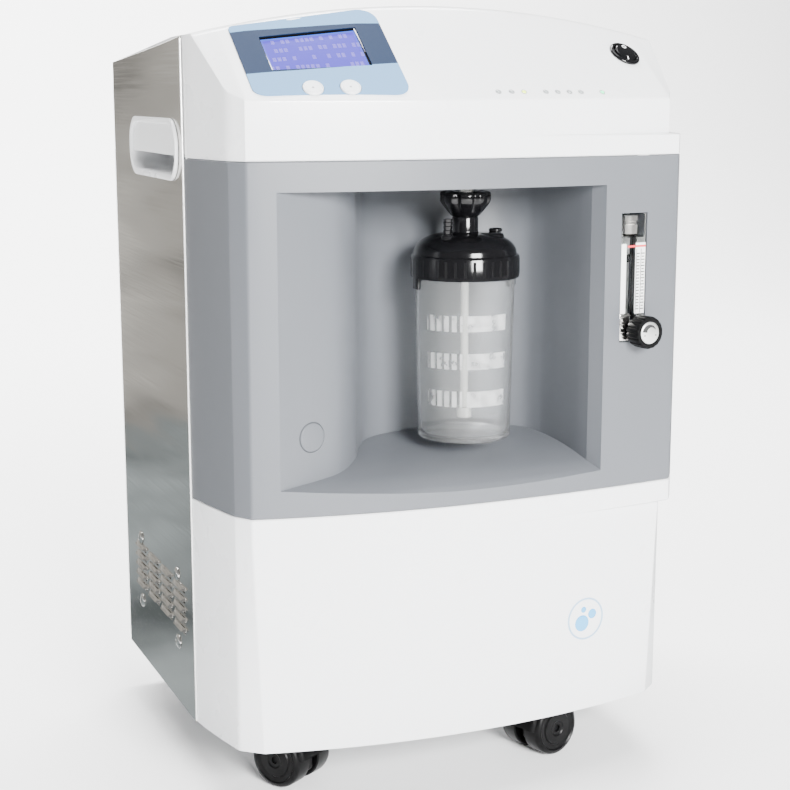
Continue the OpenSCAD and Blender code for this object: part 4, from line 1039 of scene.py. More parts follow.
def build_handle(side, sign):
    """A moulded cup with a proud rounded rim."""
    cup_y, cup_z = (CUP_LOW.y + CUP_HIGH.y) / 2, (CUP_LOW.z + CUP_HIGH.z) / 2
    w, h = CUP_HIGH.y - CUP_LOW.y, CUP_HIGH.z - CUP_LOW.z
    rows = [(0.35, 0, 20), (1.6, 0, 20), (2.5, 1.2, 19.4), (2.8, 3.2, 18.4), (2.7, 5.4, 17.2), (2.0, 7.2, 16),
            (0.6, 8.4, 15), (-2.0, 9.0, 14.4), (-8, 9.4, 14), (-24, 10.6, 13), (-28.5, 12.4, 12),
            (-30.4, 16, 10), (-30.9, 26, 5)]
    bm = bmesh.new()
    sections = []
    for depth, inset, r in rows:
        outline = rect_outline(w - inset, h - inset, min(r, (h - inset) / 2 - 0.2))
        line = []
        for p in outline:
            near = max(0.0, min(1.0, 0.5 - p.x / w))
            rise = depth if depth < 0.4 else mix(0.4, depth, 0.25 + 0.75 * near ** 1.5)
            line.append(Vector((sign * (HALF_W + rise), cup_y + p.x, cup_z + p.y)))
        sections.append(line)
    skin(bm, sections, closed=True)
    last = [e for e in bm.edges if e.is_boundary and abs(e.verts[0].co.x) < HALF_W - 20]
    bmesh.ops.contextual_create(bm, geom=last)
    cup = as_object(bm, f"handle_{side}")
    faces_out(cup, ((sign * (HALF_W - 31), cup_y, cup_z), (sign, 0, 0)))
    thicken(cup, 2.2)
    finish_piece(cup, "root", white_plastic(), [f"handle_cup_{side}"], 40)


# ---------- control panel ----------
def film_uv(obj, xs, vs):
    """Gives a piece on the control face its place across and up that face as a UV map."""
    layer = obj.data.uv_layers.new(name="Film")
    for loop in obj.data.loops:
        p = obj.data.vertices[loop.vertex_index].co / MM
        v = (p.y - bow(p.x)) / (RIDGE_Y - bow(p.x))
        layer.data[loop.index].uv = ((p.x - xs[0]) / (xs[1] - xs[0]), (v - vs[0]) / (vs[1] - vs[0]))


def face_outline(xs, vs, radii, grow=0.0):
    """A rounded rectangle on the control face, as (x, v) places; radii is in millimetres, one or four."""
    length = (face_at(0, 1) - face_at(0, 0)).length
    w, h = xs[1] - xs[0] + 2 * grow, (vs[1] - vs[0]) * length + 2 * grow
    return [((xs[0] + xs[1]) / 2 + p.x, (vs[0] + vs[1]) / 2 + p.y / length)
            for p in rect_outline(w, h, radii, 6)]


def over_face(place, height):
    return face_at(*place) + height * face_normal(place[0], 0.5)


def build_keypad():
    film = sizes().film / MM
    outer = face_outline(OVERLAY_X, OVERLAY_V, (13.0, 3.5, 9.0, 11.0))
    inner = face_outline(LCD_X, LCD_V, 0.8, 0.2)
    rows = [[(mix(a[0], b[0], t), mix(a[1], b[1], t)) for a, b in zip(outer, inner)]
            for t in (0, 0.02, 0.15, 0.3, 0.5, 0.7, 0.85, 0.98, 1)]
    bm = bmesh.new()
    skin(bm, [[over_face(p, 0.5 + film) for p in row] for row in rows], closed=True)
    pad = as_object(bm, "keypad_film")
    middle = over_face((-100, 0.2), 1)
    faces_out(pad, (middle, face_normal(-100, 0.5)))
    thicken(pad, film + 0.35)
    carve(pad, gather(*(rod(BUTTON_R - 0.1, 9, 48, on_face(*place)) for place in BUTTON_PLACES.values())))
    film_uv(pad, OVERLAY_X, (0.0, 1.0))
    finish_piece(pad, "root", film_finish(colours().film_light, colours().film_dark),
                 ["keypad_overlay"], 40)


def build_display():
    outline = face_outline(LCD_X, LCD_V, 0.6, -0.8)
    centre = (sum(LCD_X) / 2, sum(LCD_V) / 2)
    rows = [[(mix(p[0], centre[0], t), mix(p[1], centre[1], t)) for p in outline]
            for t in (0, 0.25, 0.5, 0.75, 0.97)]
    bm = bmesh.new()
    skin(bm, [[over_face(p, -1.2) for p in row] for row in rows], closed=True)
    bmesh.ops.holes_fill(bm, edges=[e for e in bm.edges if e.is_boundary
                                    and (e.verts[0].co - over_face(centre, -1.2)).length < 8], sides=0)
    glass = as_object(bm, "display_glass")
    faces_out(glass, (over_face(centre, -1.2), face_normal(centre[0], 0.5)))
    thicken(glass, 4.0)
    film_uv(glass, LCD_X, LCD_V)
    finish_piece(glass, "root", screen_finish(colours().screen), ["lcd_module"], 40)
    outer = face_outline(LCD_X, LCD_V, 0.8, 0.1)
    frame_rows = [[(mix(a[0], b[0], t), mix(a[1], b[1], t)) for a, b in zip(outer, outline)] for t in (0, 1)]
    bm = bmesh.new()
    skin(bm, [[over_face(p, 0.4) for p in frame_rows[0]], [over_face(p, -0.9) for p in frame_rows[0]],
              [over_face(p, -1.1) for p in frame_rows[1]]], closed=True)
    surround = as_object(bm, "display_surround")
    faces_out(surround, (over_face((LCD_X[0], sum(LCD_V) / 2), -0.2), (1, 0, 0)))
    thicken(surround, 0.8)
    finish_piece(surround, "root", black_matte(), (), 40)


def build_button(side):
    place = on_face(*BUTTON_PLACES[side])
    flange = BUTTON_R + 1.4
    profile = [(0, 0.95), (3.2, 1.0), (5.0, 1.25), (5.5, 1.2), (5.8, 0.9), (6.1, 0.9), (6.4, 1.3),
               (6.8, 1.35), (7.2, 1.0), (7.3, 0.6), (7.4, -2.5), (7.4, -4.5), (flange, -4.6), (flange, -6),
               (0, -6)]
    cap = as_object(lathe(profile, 56, place), f"button_cap_{side}")
    look = moulded("Button plastic", (0.74, 0.76, 0.78), 0.35, 0.05, 900.0, 0.15, 0.06)
    finish_piece(cap, f"button_{side}", look, [f"button_{side}"], 40)
    dot = lathe([(0, 1.15), (0.7, 1.13), (0.9, 1.0), (0.9, 0.8), (0, 0.8)], 24, place)
    finish_piece(as_object(dot, f"button_dot_{side}"), f"button_{side}",
                 moulded("Button dot", (0.30, 0.31, 0.32), 0.4, 0.05, 900.0, 0.1, 0.0))


def build_switch():
    place = on_face(*SWITCH_PLACE)
    bezel = [(ROCKER_R + 0.7, -9), (ROCKER_R + 0.7, 1.2), (ROCKER_R + 1.2, 2.0), (ROCKER_R + 2.0, 2.25),
             (SWITCH_R - 0.8, 2.1), (SWITCH_R - 0.2, 1.6), (SWITCH_R, 1.0), (SWITCH_R, 0.35),
             (SWITCH_R - 1.8, 0.35), (SWITCH_R - 1.8, -16), (0, -16), (0, -9), (ROCKER_R + 0.7, -9)]
    ring_ = as_object(lathe(bezel, 72, place), "switch_ring")
    finish_piece(ring_, "root", black_gloss(), ["switch_bezel"], 40)
    tilt = place @ Matrix.Rotation(math.radians(8), 4, "X")
    rocker = lathe([(0, 3.0), (ROCKER_R - 1.0, 3.0), (ROCKER_R - 0.4, 2.6), (ROCKER_R - 0.2, 2.0),
                    (ROCKER_R - 0.2, -4), (0, -4)], 56)
    rocker = as_object(rocker, "rocker_cap")
    slope = math.radians(9)
    carve(rocker, *(block((30, 20, 2), Matrix.Translation((0, s * 10, 3.0))
                          @ Matrix.Rotation(-s * slope, 4, "X")) for s in (-1, 1)))
    soften(rocker, 0.25, 2, 12)
    rocker.data.transform(Matrix.Scale(1 / MM, 4))
    rocker.data.transform(tilt)
    rocker.data.transform(Matrix.Scale(MM, 4))
    finish_piece(rocker, "power_rocker", black_gloss(), ["power_rocker"], 12)
    bar = block((0.8, 2.8, 0.3), tilt @ Matrix.Rotation(slope, 4, "X") @ Matrix.Translation((0, -5.3, 3.5)),
                0.1)
    oh = lathe([(1.0, 3.4), (1.0, 3.65), (1.8, 3.65), (1.8, 3.4), (1.0, 3.4)], 32,
               tilt @ Matrix.Rotation(-slope, 4, "X") @ Matrix.Translation((0, 5.3, 0)))
    signs = as_object(gather(bar, oh), "rocker_signs")
    finish_piece(signs, "power_rocker", printed("White print", (0.8, 0.8, 0.8), 0.4))


def build_lamps():
    groups = {"dark": [], "amber": [], "green": []}
    for x in LED_XS:
        dome = [(0, 0.95), (0.7, 0.8), (1.2, 0.5), (1.5, 0.1), (1.5, -5), (0, -5)]
        groups[LEDS_LIT.get(x, "dark")].append(lathe(dome, 20, on_face(x, LED_V)))
    looks = {"dark": moulded("Dark lens", (0.33, 0.36, 0.36), 0.2, 0.04, 500.0, 0.05, 0.0),
             "amber": lit_lens("Amber lens", (0.75, 0.95, 0.12), 1.6),
             "green": lit_lens("Green lens", (0.12, 0.95, 0.42), 1.6)}
    for name, parts in groups.items():
        lamps = as_object(gather(*parts), f"lamps_{name}")
        finish_piece(lamps, "root", looks[name], ["indicator_leds"], 50)
    marks = []
    for x in LED_XS:
        matrix = on_face(x, LED_V) @ Matrix.Translation((0, 0, 0.12))
        marks.append(lathe([(1.75, 0), (1.8, 0.12), (2.25, 0.12), (2.3, 0), (1.75, 0)], 24, matrix))
    rings = as_object(gather(*marks), "lamp_rings")
    finish_piece(rings, "root", printed("Grey print", (0.32, 0.33, 0.34)))


# ---------- humidifier ----------
def build_nut():
    flutes = sizes().nut_flutes
    low, high = NUT_LOW.z, NUT_HIGH.z
    rows = [(7.3, low + 3.4), (6.15, low + 3.4), (6.15, low), (10.2, low), (10.9, low + 0.5), (12, low + 2.0),
            (13.2, low + 3.4), (17.9, low + 9.4), (18.8, low + 11), (18.8, high - 1.6), (18.3, high - 0.5),
            (17.2, high), (7.3, high)]
    bm = bmesh.new()
    count = flutes * 16
    sections = []
    for r, z in rows:
        deep = max(0.0, min(1.0, (r - 12.0) / 4.0))
        line = []
        for k in range(count):
            a = math.tau * k / count
            notch = max(0.0, math.cos(flutes * a)) ** 1.6
            radius = r - 2.6 * notch * deep
            line.append(Vector((radius * math.cos(a), radius * math.sin(a), z)))
        sections.append(line)
    skin(bm, sections + [sections[0]], closed=True)
    bmesh.ops.translate(bm, vec=BOTTLE, verts=bm.verts)
    nut = as_object(bm, "wing_nut")
    finish_piece(nut, "nut", black_gloss(), ["humidifier_nut"], 38)


def build_lid():
    low, rim = LID_FOOT, 40.5
    outer = [(36.6, low), (rim - 0.5, low), (rim, low + 0.6), (rim, low + 15.6), (rim - 0.6, low + 16.6),
             (rim - 1.8, low + 17.0)]
    dome = [(13 + (rim - 15.2) * math.cos(math.radians(a)), low + 18.2 + 14.0 * math.sin(math.radians(a)))
            for a in range(0, 91, 6)]
    stem = [(10.6, low + 32.6), (9.9, low + 33.4), (9.75, low + 34.6), (9.75, low + 43.6), (9.3, low + 44.4),
            (6.2, low + 44.5), (6.0, low + 45), (6.0, low + 49), (6.9, low + 49), (6.9, low + 52),
            (4.5, low + 58.2), (2.4, low + 58.2), (2.4, low + 29.8)]
    inside = [(12 + (rim - 17) * math.cos(math.radians(a)), low + 16.8 + 13 * math.sin(math.radians(a)))
              for a in range(90, -1, -6)]
    profile = outer + dome + stem + inside + [(35, low + 15.2), (36.6, low + 15.2), (36.6, low)]
    lid = as_object(lathe(profile, 96, Matrix.Translation(BOTTLE)), "lid_dome")
    finish_piece(lid, "humidifier", black_gloss(), ["humidifier_lid"], 32)
    parts = []
    for s in (-1, 1):
        parts.append(block((2.6, 9, 10), Matrix.Translation(BOTTLE + Vector((s * 39, 0, low - 3.0))), 0.6))
    nipple = BOTTLE + Vector((-20.5, -13.8, 0))
    barb = [(0, 415), (4.8, 415), (4.8, 420.7), (4.5, 421.0), (3.4, 421.0), (3.4, 421.5), (2.9, 422.2),
            (3.4, 424.6), (2.9, 425), (3.4, 427.6), (2.9, 428),
            (3.4, 430.6), (2.9, 431), (3.2, 433), (1.8, 433), (1.8, 424), (0, 424)]
    parts.append(lathe(barb, 32, Matrix.Translation(nipple)))
    boss = [(0, 421.6), (7.6, 421.6), (9.2, 421.0), (10.0, 419.6), (10.4, 414), (0, 414)]
    parts.append(lathe(boss, 40, Matrix.Translation(BOTTLE + Vector((16.5, -9.0, 0)))))
    parts.append(block((17, 2.2, 3.0), Matrix.Translation(BOTTLE + Vector((22, -17, 414.6)))
                       @ Matrix.Rotation(math.radians(38), 4, "Y"), 0.5))
    for k in range(36):
        a = math.tau * (k + 0.5) / 36
        parts.append(block((1.0, 2.4, 12.5), Matrix.Translation(BOTTLE) @ Matrix.Rotation(a, 4, "Z")
                           @ Matrix.Translation((rim - 0.35, 0, low + 8.2)), 0.3, 1))
    trim = as_object(gather(*parts), "lid_fittings")
    finish_piece(trim, "humidifier", black_gloss(), (), 32)
    relief = [(0, 424.2), (2.2, 424.2), (4.2, 423.9), (5.1, 423.1), (5.2, 422.1), (4.6, 421.3), (2.9, 421.2),
              (2.9, 410), (0, 410)]
    valve = as_object(lathe(relief, 40, Matrix.Translation(BOTTLE + Vector((25, 0, 0)))), "relief_button")
    finish_piece(valve, "humidifier", black_gloss(), ["relief_valve"], 40)


def build_jar():
    foot, top = JAR_LOW.z, 389.0
    r0, r1, t = 34.8, 37.2, 1.9
    profile = [(0, foot + 1.6), (r0 - 7, foot + 1.4), (r0 - 5, foot + 0.3), (r0 - 3.5, foot),
               (r0 - 1.6, foot + 0.3),
               (r0 - 0.4, foot + 1.4), (r0, foot + 3)]
    profile += [(mix(r0, r1, k / 6), mix(foot + 3, top - 5, k / 6)) for k in range(1, 7)]
    profile += [(r1 + 0.1, top - 3.4), (r1 + 0.1, top - 1.2), (36.4, top - 0.4), (36.4, 401.8),
                (36.4 - t, 401.8),
                (36.4 - t, top), (r1 - t, top - 6)]
    profile += [(mix(r1, r0, k / 6) - t, mix(top - 6, foot + 8, k / 6)) for k in range(1, 7)]
    profile += [(r0 - t - 1.0, foot + 5.4), (r0 - t - 3.2, foot + 4.2), (0, foot + 3.8)]
    jar = as_object(lathe(profile, 112, Matrix.Translation(BOTTLE)), "jar_wall")
    finish_piece(jar, "jar", jar_finish(), ["humidifier_jar"], 40)


# ---------- flowmeter ----------
def build_flowmeter():
    place = at_meter()
    w, low, high = 23.0, METER_LOW.z, METER_HIGH.z
    mid = (low + high) / 2
    body = block((w, 19.4, high - low), place @ Matrix.Translation((0, 10.9, mid)), 0.5)
    body = as_object(body, "meter_block")
    bore = lathe([(0, 359), (3.6, 359), (3.9, 417.5), (6.6, 417.5), (6.6, high + 5), (0, high + 5)], 40,
                 place @ Matrix.Translation((0, 9, 0)))
    valve_bore = lathe([(0, -8), (3.1, -8), (3.1, 14), (0, 14)], 32,
                       place @ Matrix.Translation((KNOB_X, 0, KNOB_Z)) @ TO_BACK)
    seat = block((19, 21, 24), place @ Matrix.Translation((0, 7.5, 417.5 + 12)))
    carve(body, bore, valve_bore, seat)
    finish_piece(body, "root", clear("Clear acrylic", (0.97, 0.98, 0.98), 0.04, 1.2),
                 ["flowmeter_body"], 30)
    ticks = []
    for i in range(19):
        long = i % 2 == 0
        z = mix(364.0, 405.5, i / 18)
        for x, width in ((4.6, 3.0 if long else 2.0), (9.0, 3.0 if long else 2.0)):
            ticks.append(block((width, 0.12, 0.8), place @ Matrix.Translation((x, 0.72, z))))
    for x in (3.0, 7.2):
        ticks.append(block((0.45, 0.12, 48), place @ Matrix.Translation((x, 0.72, 385))))
    scale = as_object(gather(*ticks), "meter_scale")
    finish_piece(scale, "root", printed("Black print", (0.015, 0.015, 0.015)))
    line = as_object(block((16.5, 0.14, 1.5), place @ Matrix.Translation((2.9, 0.6, 411.0))), "meter_limit")
    finish_piece(line, "root", printed("Red print", (0.65, 0.03, 0.04), 0.45))
    back = as_object(gather(
        block((w - 1.5, 0.5, high - low - 2), place @ Matrix.Translation((0, 21.2, mid)), 0.1),
        block((4.6, 0.3, 52), place @ Matrix.Translation((-8.6, 0.9, 387)), 0.1),
        block((9.0, 0.3, 53), place @ Matrix.Translation((6.7, 0.95, 387)), 0.1)), "meter_backing")
    finish_piece(back, "root",
                 moulded("White card", (0.85, 0.86, 0.84), 0.5, 0.05, 500.0, 0.1, 0.03))
    fittings = [lathe([(3.2, 417.8), (5.0, 417.8), (6.4, 418.6), (8.3, 420.2), (8.4, 427.0), (7.6, 427.6),
                       (7.6, 429.4), (8.4, 430.0), (8.4, 433.4), (7.8, 434.2), (0, 434.2), (0, 421), (3.2, 421),
                       (3.2, 417.8)], 48, place @ Matrix.Translation((0, 9, 0)))]
    fittings.append(block((9.0, 5.0, 20.0), place @ Matrix.Translation((-6.4, 3.2, 350.6)), 0.6))
    for z in (KNOB_Z, 426.0):
        fittings.append(lathe([(2, 21.4), (4.2, 21.4), (4.2, 35), (2, 35), (2, 21.4)], 32,
                              place @ Matrix.Translation((0, 0, z)) @ TO_BACK))
    for z in (345.5, 351.5, 357.0):
        fittings.append(lathe([(0, -0.4), (1.4, -0.3), (1.9, 0.2), (1.9, 3.4), (0, 3.4)], 24,
                              place @ Matrix.Translation((-8.2, 0, z)) @ TO_BACK))
    fittings.append(block((17.6, 6.0, 15.0), place @ Matrix.Translation((0, 14.6, 426.2)), 0.8))
    metal = as_object(gather(*fittings), "meter_fittings")
    finish_piece(metal, "root", plated(), ["flowmeter_fittings"], 35)
    ball = bmesh.new()
    bmesh.ops.create_icosphere(ball, subdivisions=4, radius=3.1)
    bmesh.ops.transform(ball, matrix=place @ Matrix.Translation((0, 9, 401.5)), verts=ball.verts)
    finish_piece(as_object(ball, "float_ball"), "float", black_gloss(), ["flowmeter_float"], 60)


def build_knob():
    place = at_meter() @ Matrix.Translation((KNOB_X, 0, KNOB_Z)) @ TO_FRONT
    flutes = sizes().knob_flutes
    rows = [(3.0, -12.4), (3.0, 3.6), (11.0, 3.6), (11.8, 4.0), (12.1, 4.8), (12.2, 15.4), (11.9, 16.6),
            (11.0, 17.5),
            (10.0, 17.6), (8.9, 17.5), (8.4, 16.4)]
    count = flutes * 8
    sections = []
    for r, z in rows:
        deep = max(0.0, min(1.0, (r - 10.6) / 1.0)) if z < 16.9 else 0.0
        line = []
        for k in range(count):
            a = math.tau * k / count
            radius = r - 0.75 * deep * max(0.0, math.cos(flutes * a)) ** 2
            line.append(Vector((radius * math.cos(a), radius * math.sin(a), z)))
        sections.append(line)
    bm = bmesh.new()
    skin(bm, sections, closed=True)
    cap_ends(bm)
    bmesh.ops.transform(bm, matrix=place, verts=bm.verts)
    knob = as_object(bm, "knob_grip")
    finish_piece(knob, "flow_knob", black_matte(), ["flow_knob"], 35)
    disc = lathe([(0, 17.5), (7.4, 17.5), (8.0, 17.3), (8.3, 16.9), (8.3, 16.4), (0, 16.4)], 64, place)
    look = moulded("Satin aluminium", (0.72, 0.72, 0.71), 0.32, 0.08, 400.0, 0.1, 0.05, metal=0.85)
    finish_piece(as_object(disc, "knob_disc"), "flow_knob", look, ["knob_cap"], 35)
    arc = bmesh.new()
    steps = 20
    inner, outer = [], []
    for k in range(steps + 1):
        a = math.radians(mix(28, 172, k / steps))
        half = 0.25 + 2.0 * k / steps
        inner.append(Vector(((5.2 - half) * math.cos(a), (5.2 - half) * math.sin(a), 17.62)))
        outer.append(Vector(((5.2 + half) * math.cos(a), (5.2 + half) * math.sin(a), 17.62)))
    skin(arc, [inner, outer])
    marks = [lathe([(0, 17.45), (0.55, 17.45), (0.55, 17.62), (0, 17.62)], 20,
                   Matrix.Translation((dx, -1.8, 0))) for dx in (-5.0, 5.0)]
    bmesh.ops.solidify(arc, geom=arc.faces[:], thickness=0.15)
    mark = gather(arc, *marks)
    bmesh.ops.transform(mark, matrix=place, verts=mark.verts)
    finish_piece(as_object(mark, "knob_mark"), "flow_knob", bpy.data.materials["Black print"])


def build_plug():
    cap = lathe([(0, 1.1), (8.8, 1.05), (9.9, 0.85), (10.5, 0.3), (10.8, -0.8), (10.8, -3), (12.8, -3.3),
                 (12.8, -4.8), (0, -4.8)], 72, at_plug())
    finish_piece(as_object(cap, "port_cap"), "root", grey_plastic(), ["port_plug"], 30)


# ---------- casters ----------
CASTERS = {"front_left": ((-106.0, -98.0), 123), "front_right": ((106.0, -98.0), 197),
           "rear_left": ((-130.0, 100.0), 70), "rear_right": ((130.0, 100.0), 250)}
WHEEL_R = 22.25
WHEEL_W = 17.0
TRAIL = 17.0


def build_caster(corner):
    (cx, cy), angle = CASTERS[corner]
    place = Matrix.Translation((cx, cy, 0)) @ Matrix.Rotation(math.radians(angle), 4, "Z")
    axle = place @ Matrix.Translation((TRAIL, 0, WHEEL_R))
    guard = bmesh.new()
    half = WHEEL_W + 1.6
    outer = rounded_all([(-half, 12.5), (-half, 25.75), (half, 25.75), (half, 12.5)], 6.0, 6)
    inner = rounded_all([(half - 1.6, 12.5), (half - 1.6, 23.8), (-half + 1.6, 23.8), (-half + 1.6, 12.5)],
                        4.6, 6)
    shape = [Vector((r, y)) for y, r in outer + inner]
    sections = []
    for k in range(25):
        a = math.radians(mix(8, 176, k / 24))
        sections.append([Vector((-p.x * math.cos(a), p.y, p.x * math.sin(a))) for p in shape])
    skin(guard, sections, closed=True)
    cap_ends(guard)
    bmesh.ops.transform(guard, matrix=axle, verts=guard.verts)
    hub = block((34, 8.6, 34), axle @ Matrix.Translation((-1.5, 0, 5.6)), 3.0, 3)
    boss = lathe([(0, 30), (7.5, 30), (8.2, 44), (8.2, 50), (7.4, 52.4), (5.5, 52.6), (5.5, 78), (0, 78)],
                 40, place)
    pin = rod(3.0, 19.5, 24, axle @ TO_FRONT)
    hood = as_object(gather(guard, hub, boss, pin), f"caster_hood_{corner}")
    finish_piece(hood, f"caster_{corner}", black_matte(), [f"caster_{corner}"], 38)
    for side, sign in (("a", -1), ("b", 1)):
        name = f"wheel_{corner}_{side}"
        mid = 4.5 + 0.5 + WHEEL_W / 2
        w = WHEEL_W / 2
        tread = [(3.05, -w), (WHEEL_R - 1, -w), (WHEEL_R, -w + 1), (WHEEL_R, w - 4.2),
                 (WHEEL_R - 0.7, w - 2.0), (WHEEL_R - 2.2, w - 0.6), (WHEEL_R - 4.0, w - 0.1),
                 (WHEEL_R - 5.0, w - 1.0), (13.5, w - 1.3),
                 (12.8, w - 0.3), (6.5, w), (5.4, w - 0.8), (3.05, w - 1.0), (3.05, -w)]
        spin = axle @ Matrix.Translation((0, sign * mid, 0)) @ Matrix.Rotation(-sign * math.pi / 2, 4, "X")
        wheel = as_object(lathe(tread, 72, spin), f"tread_{corner}_{side}")
        look = moulded("Wheel plastic", (0.002, 0.002, 0.0022), 0.34, 0.08, 260.0, 0.2, 0.0, shine=0.12)
        finish_piece(wheel, name, look, [name], 30)


# ---------- badge, screws, back and inner parts ----------
def front_spot(x, z, height=0.0):
    """A point over the lower cover's front."""
    t = (z - SKIRT_Z) / (LOWER_HIGH.z - LEDGE_H - SKIRT_Z)
    corner = FOOT_CORNER.lerp(CORNER, t)
    y = bow(x, mix(FOOT_Y, FRONT_Y, t), corner)
    return Vector((x, y - height, z))


def build_badge():
    """A plain printed ring with three bubbles."""
    centre = (96.0, 127.0)

    def wrap(bm):
        for v in bm.verts:
            v.co = front_spot(centre[0] + v.co.x, centre[1] + v.co.y, v.co.z)
        return bm

    def band(r0, r1, x=0.0, y=0.0):
        return wrap(lathe([(r0, 0.02), (r0, 0.14), (r1, 0.14), (r1, 0.02), (r0, 0.02)], 64,
                          Matrix.Translation((x, y, 0))))

    def bubble(r, x, y):
        return wrap(lathe([(0, 0.5), (r * 0.6, 0.42), (r * 0.9, 0.25), (r, 0.02), (0, 0.02)], 48,
                          Matrix.Translation((x, y, 0))))

    ring_ = as_object(band(15.2, 16.6), "badge_ring")
    finish_piece(ring_, "root",
                 moulded("Grey-blue print", (0.28, 0.44, 0.62), 0.3, 0.05, 500.0, 0.05, 0.0))
    bubbles = gather(bubble(6.4, -3.4, -3.2), bubble(3.8, 6.2, 3.0), bubble(2.4, -2.0, 7.4))
    finish_piece(as_object(bubbles, "badge_bubbles"), "root",
                 moulded("Blue print", (0.05, 0.36, 0.72), 0.15, 0.04, 300.0, 0.05, 0.0, coat=0.6))


SIDE_SCREWS = ((-28.5, 157.8), (84.6, 157.8), (-28.5, 103.5), (84.6, 103.5))
REAR_SCREWS = ((-150.0, 80.0), (150.0, 80.0), (-150.0, 462.0), (150.0, 462.0))


def build_screws():
    profile = [(0, 2.2), (2.6, 2.0), (4.4, 1.4), (5.6, 0.5), (5.7, 0.1), (2.0, 0.1), (2.0, -7), (0, -7)]
    places = [Matrix.Translation((s * HALF_W, y, z)) @ Matrix.Rotation(s * math.pi / 2, 4, "Y")
              for s in (-1, 1) for y, z in SIDE_SCREWS]
    places += [Matrix.Translation((x, BACK_Y, z)) @ TO_BACK for x, z in REAR_SCREWS]
    heads = as_object(gather(*(lathe(profile, 40, place) for place in places)), "screw_heads")
    cross = []
    for place in places:
        for turn in (0, math.pi / 2):
            cross.append(block((4.6, 1.0, 1.6), place @ Matrix.Rotation(turn + 0.4, 4, "Z")
                               @ Matrix.Translation((0, 0, 2.0))))
    carve(heads, gather(*cross[0::2]))
    carve(heads, gather(*cross[1::2]))
    finish_piece(heads, "root", plated(), ["panel_screws"], 40)


def build_filter_door():
    low, high = node_box("filter_door")
    mid = (low + high) / 2
    door = as_object(block((high.x - low.x, high.y - low.y, high.z - low.z), Matrix.Translation(mid), 0.9, 3),
                     "filter_grille")
    slots = [block((high.x - low.x - 24, 20, 4), Matrix.Translation((mid.x, mid.y, mid.z + 10 * i)), 1.6, 3)
             for i in range(-5, 6)]
    grip = block((34, 3.0, 6), Matrix.Translation((mid.x, high.y, high.z - 4)), 1.2, 2)
    hollow = block((high.x - low.x - 8, 4, high.z - low.z - 8), Matrix.Translation((mid.x, low.y + 1, mid.z)))
    carve(door, gather(*slots), grip, hollow)
    finish_piece(door, "filter_door", white_plastic(), ["filter_door"], 28)


INNER_LOOKS = {
    "zinc_steel": ((0.55, 0.56, 0.57), 0.38, 0.08, 350.0, 0.1, 1.0),
    "silicone": ((0.66, 0.68, 0.62), 0.5, 0.08, 300.0, 0.1, 0.0),
    "tube_plastic": ((0.78, 0.78, 0.74), 0.4, 0.06, 400.0, 0.1, 0.0),
    "foam": ((0.03, 0.03, 0.03), 0.9, 0.05, 900.0, 1.0, 0.0),
    "cast_alloy": ((0.5, 0.51, 0.52), 0.45, 0.1, 500.0, 0.5, 0.9),
    "shaft_steel": ((0.4, 0.4, 0.41), 0.25, 0.06, 300.0, 0.1, 1.0),
    "box_grey": ((0.2, 0.205, 0.21), 0.6, 0.08, 600.0, 0.4, 0.0),
    "brass_block": ((0.62, 0.45, 0.18), 0.3, 0.08, 300.0, 0.1, 1.0),
    "copper": ((0.72, 0.33, 0.16), 0.28, 0.08, 200.0, 0.1, 1.0),
    "board_green": ((0.02, 0.14, 0.06), 0.35, 0.06, 500.0, 0.1, 0.0),
    "mirror_steel": ((0.72, 0.71, 0.68), 0.2, 0.05, 250.0, 0.05, 1.0),
    "plated_metal": ((0.78, 0.77, 0.74), 0.18, 0.05, 200.0, 0.05, 1.0),
    "black_gloss": ((0.012, 0.012, 0.013), 0.18, 0.05, 300.0, 0.06, 0.0),
    "black_matte": ((0.018, 0.018, 0.019), 0.5, 0.08, 900.0, 0.3, 0.0),
}


def finish_cad_nodes():
    """Gives each CAD node that still shows the finish of its record slot."""
    slots = {s["node"]: s["material_slot"] for s in frame["record"]["subparts"]}
    for name, obj in frame["nodes"].items():
        if obj.hide_render:
            continue
        colour, gloss, spread, scale, depth, metal = INNER_LOOKS[slots[name]]
        look = moulded(f"Inner {slots[name]}", colour, gloss, spread, scale, depth, 0.08, metal=metal)
        obj.data.materials.clear()
        obj.data.materials.append(look)


# ---------- stage ----------
def area_light(name, place, aim, size, power, colour=(1, 1, 1)):
    data = bpy.data.lights.new(name, "AREA")
    data.shape = "RECTANGLE"
    data.size, data.size_y = size
    data.energy = power
    data.color = colour
    lamp = bpy.data.objects.new(name, data)
    lamp.location = place
    lamp.rotation_euler = (Vector(aim) - Vector(place)).to_track_quat("-Z", "Y").to_euler()
    bpy.context.scene.collection.objects.link(lamp)
    return lamp


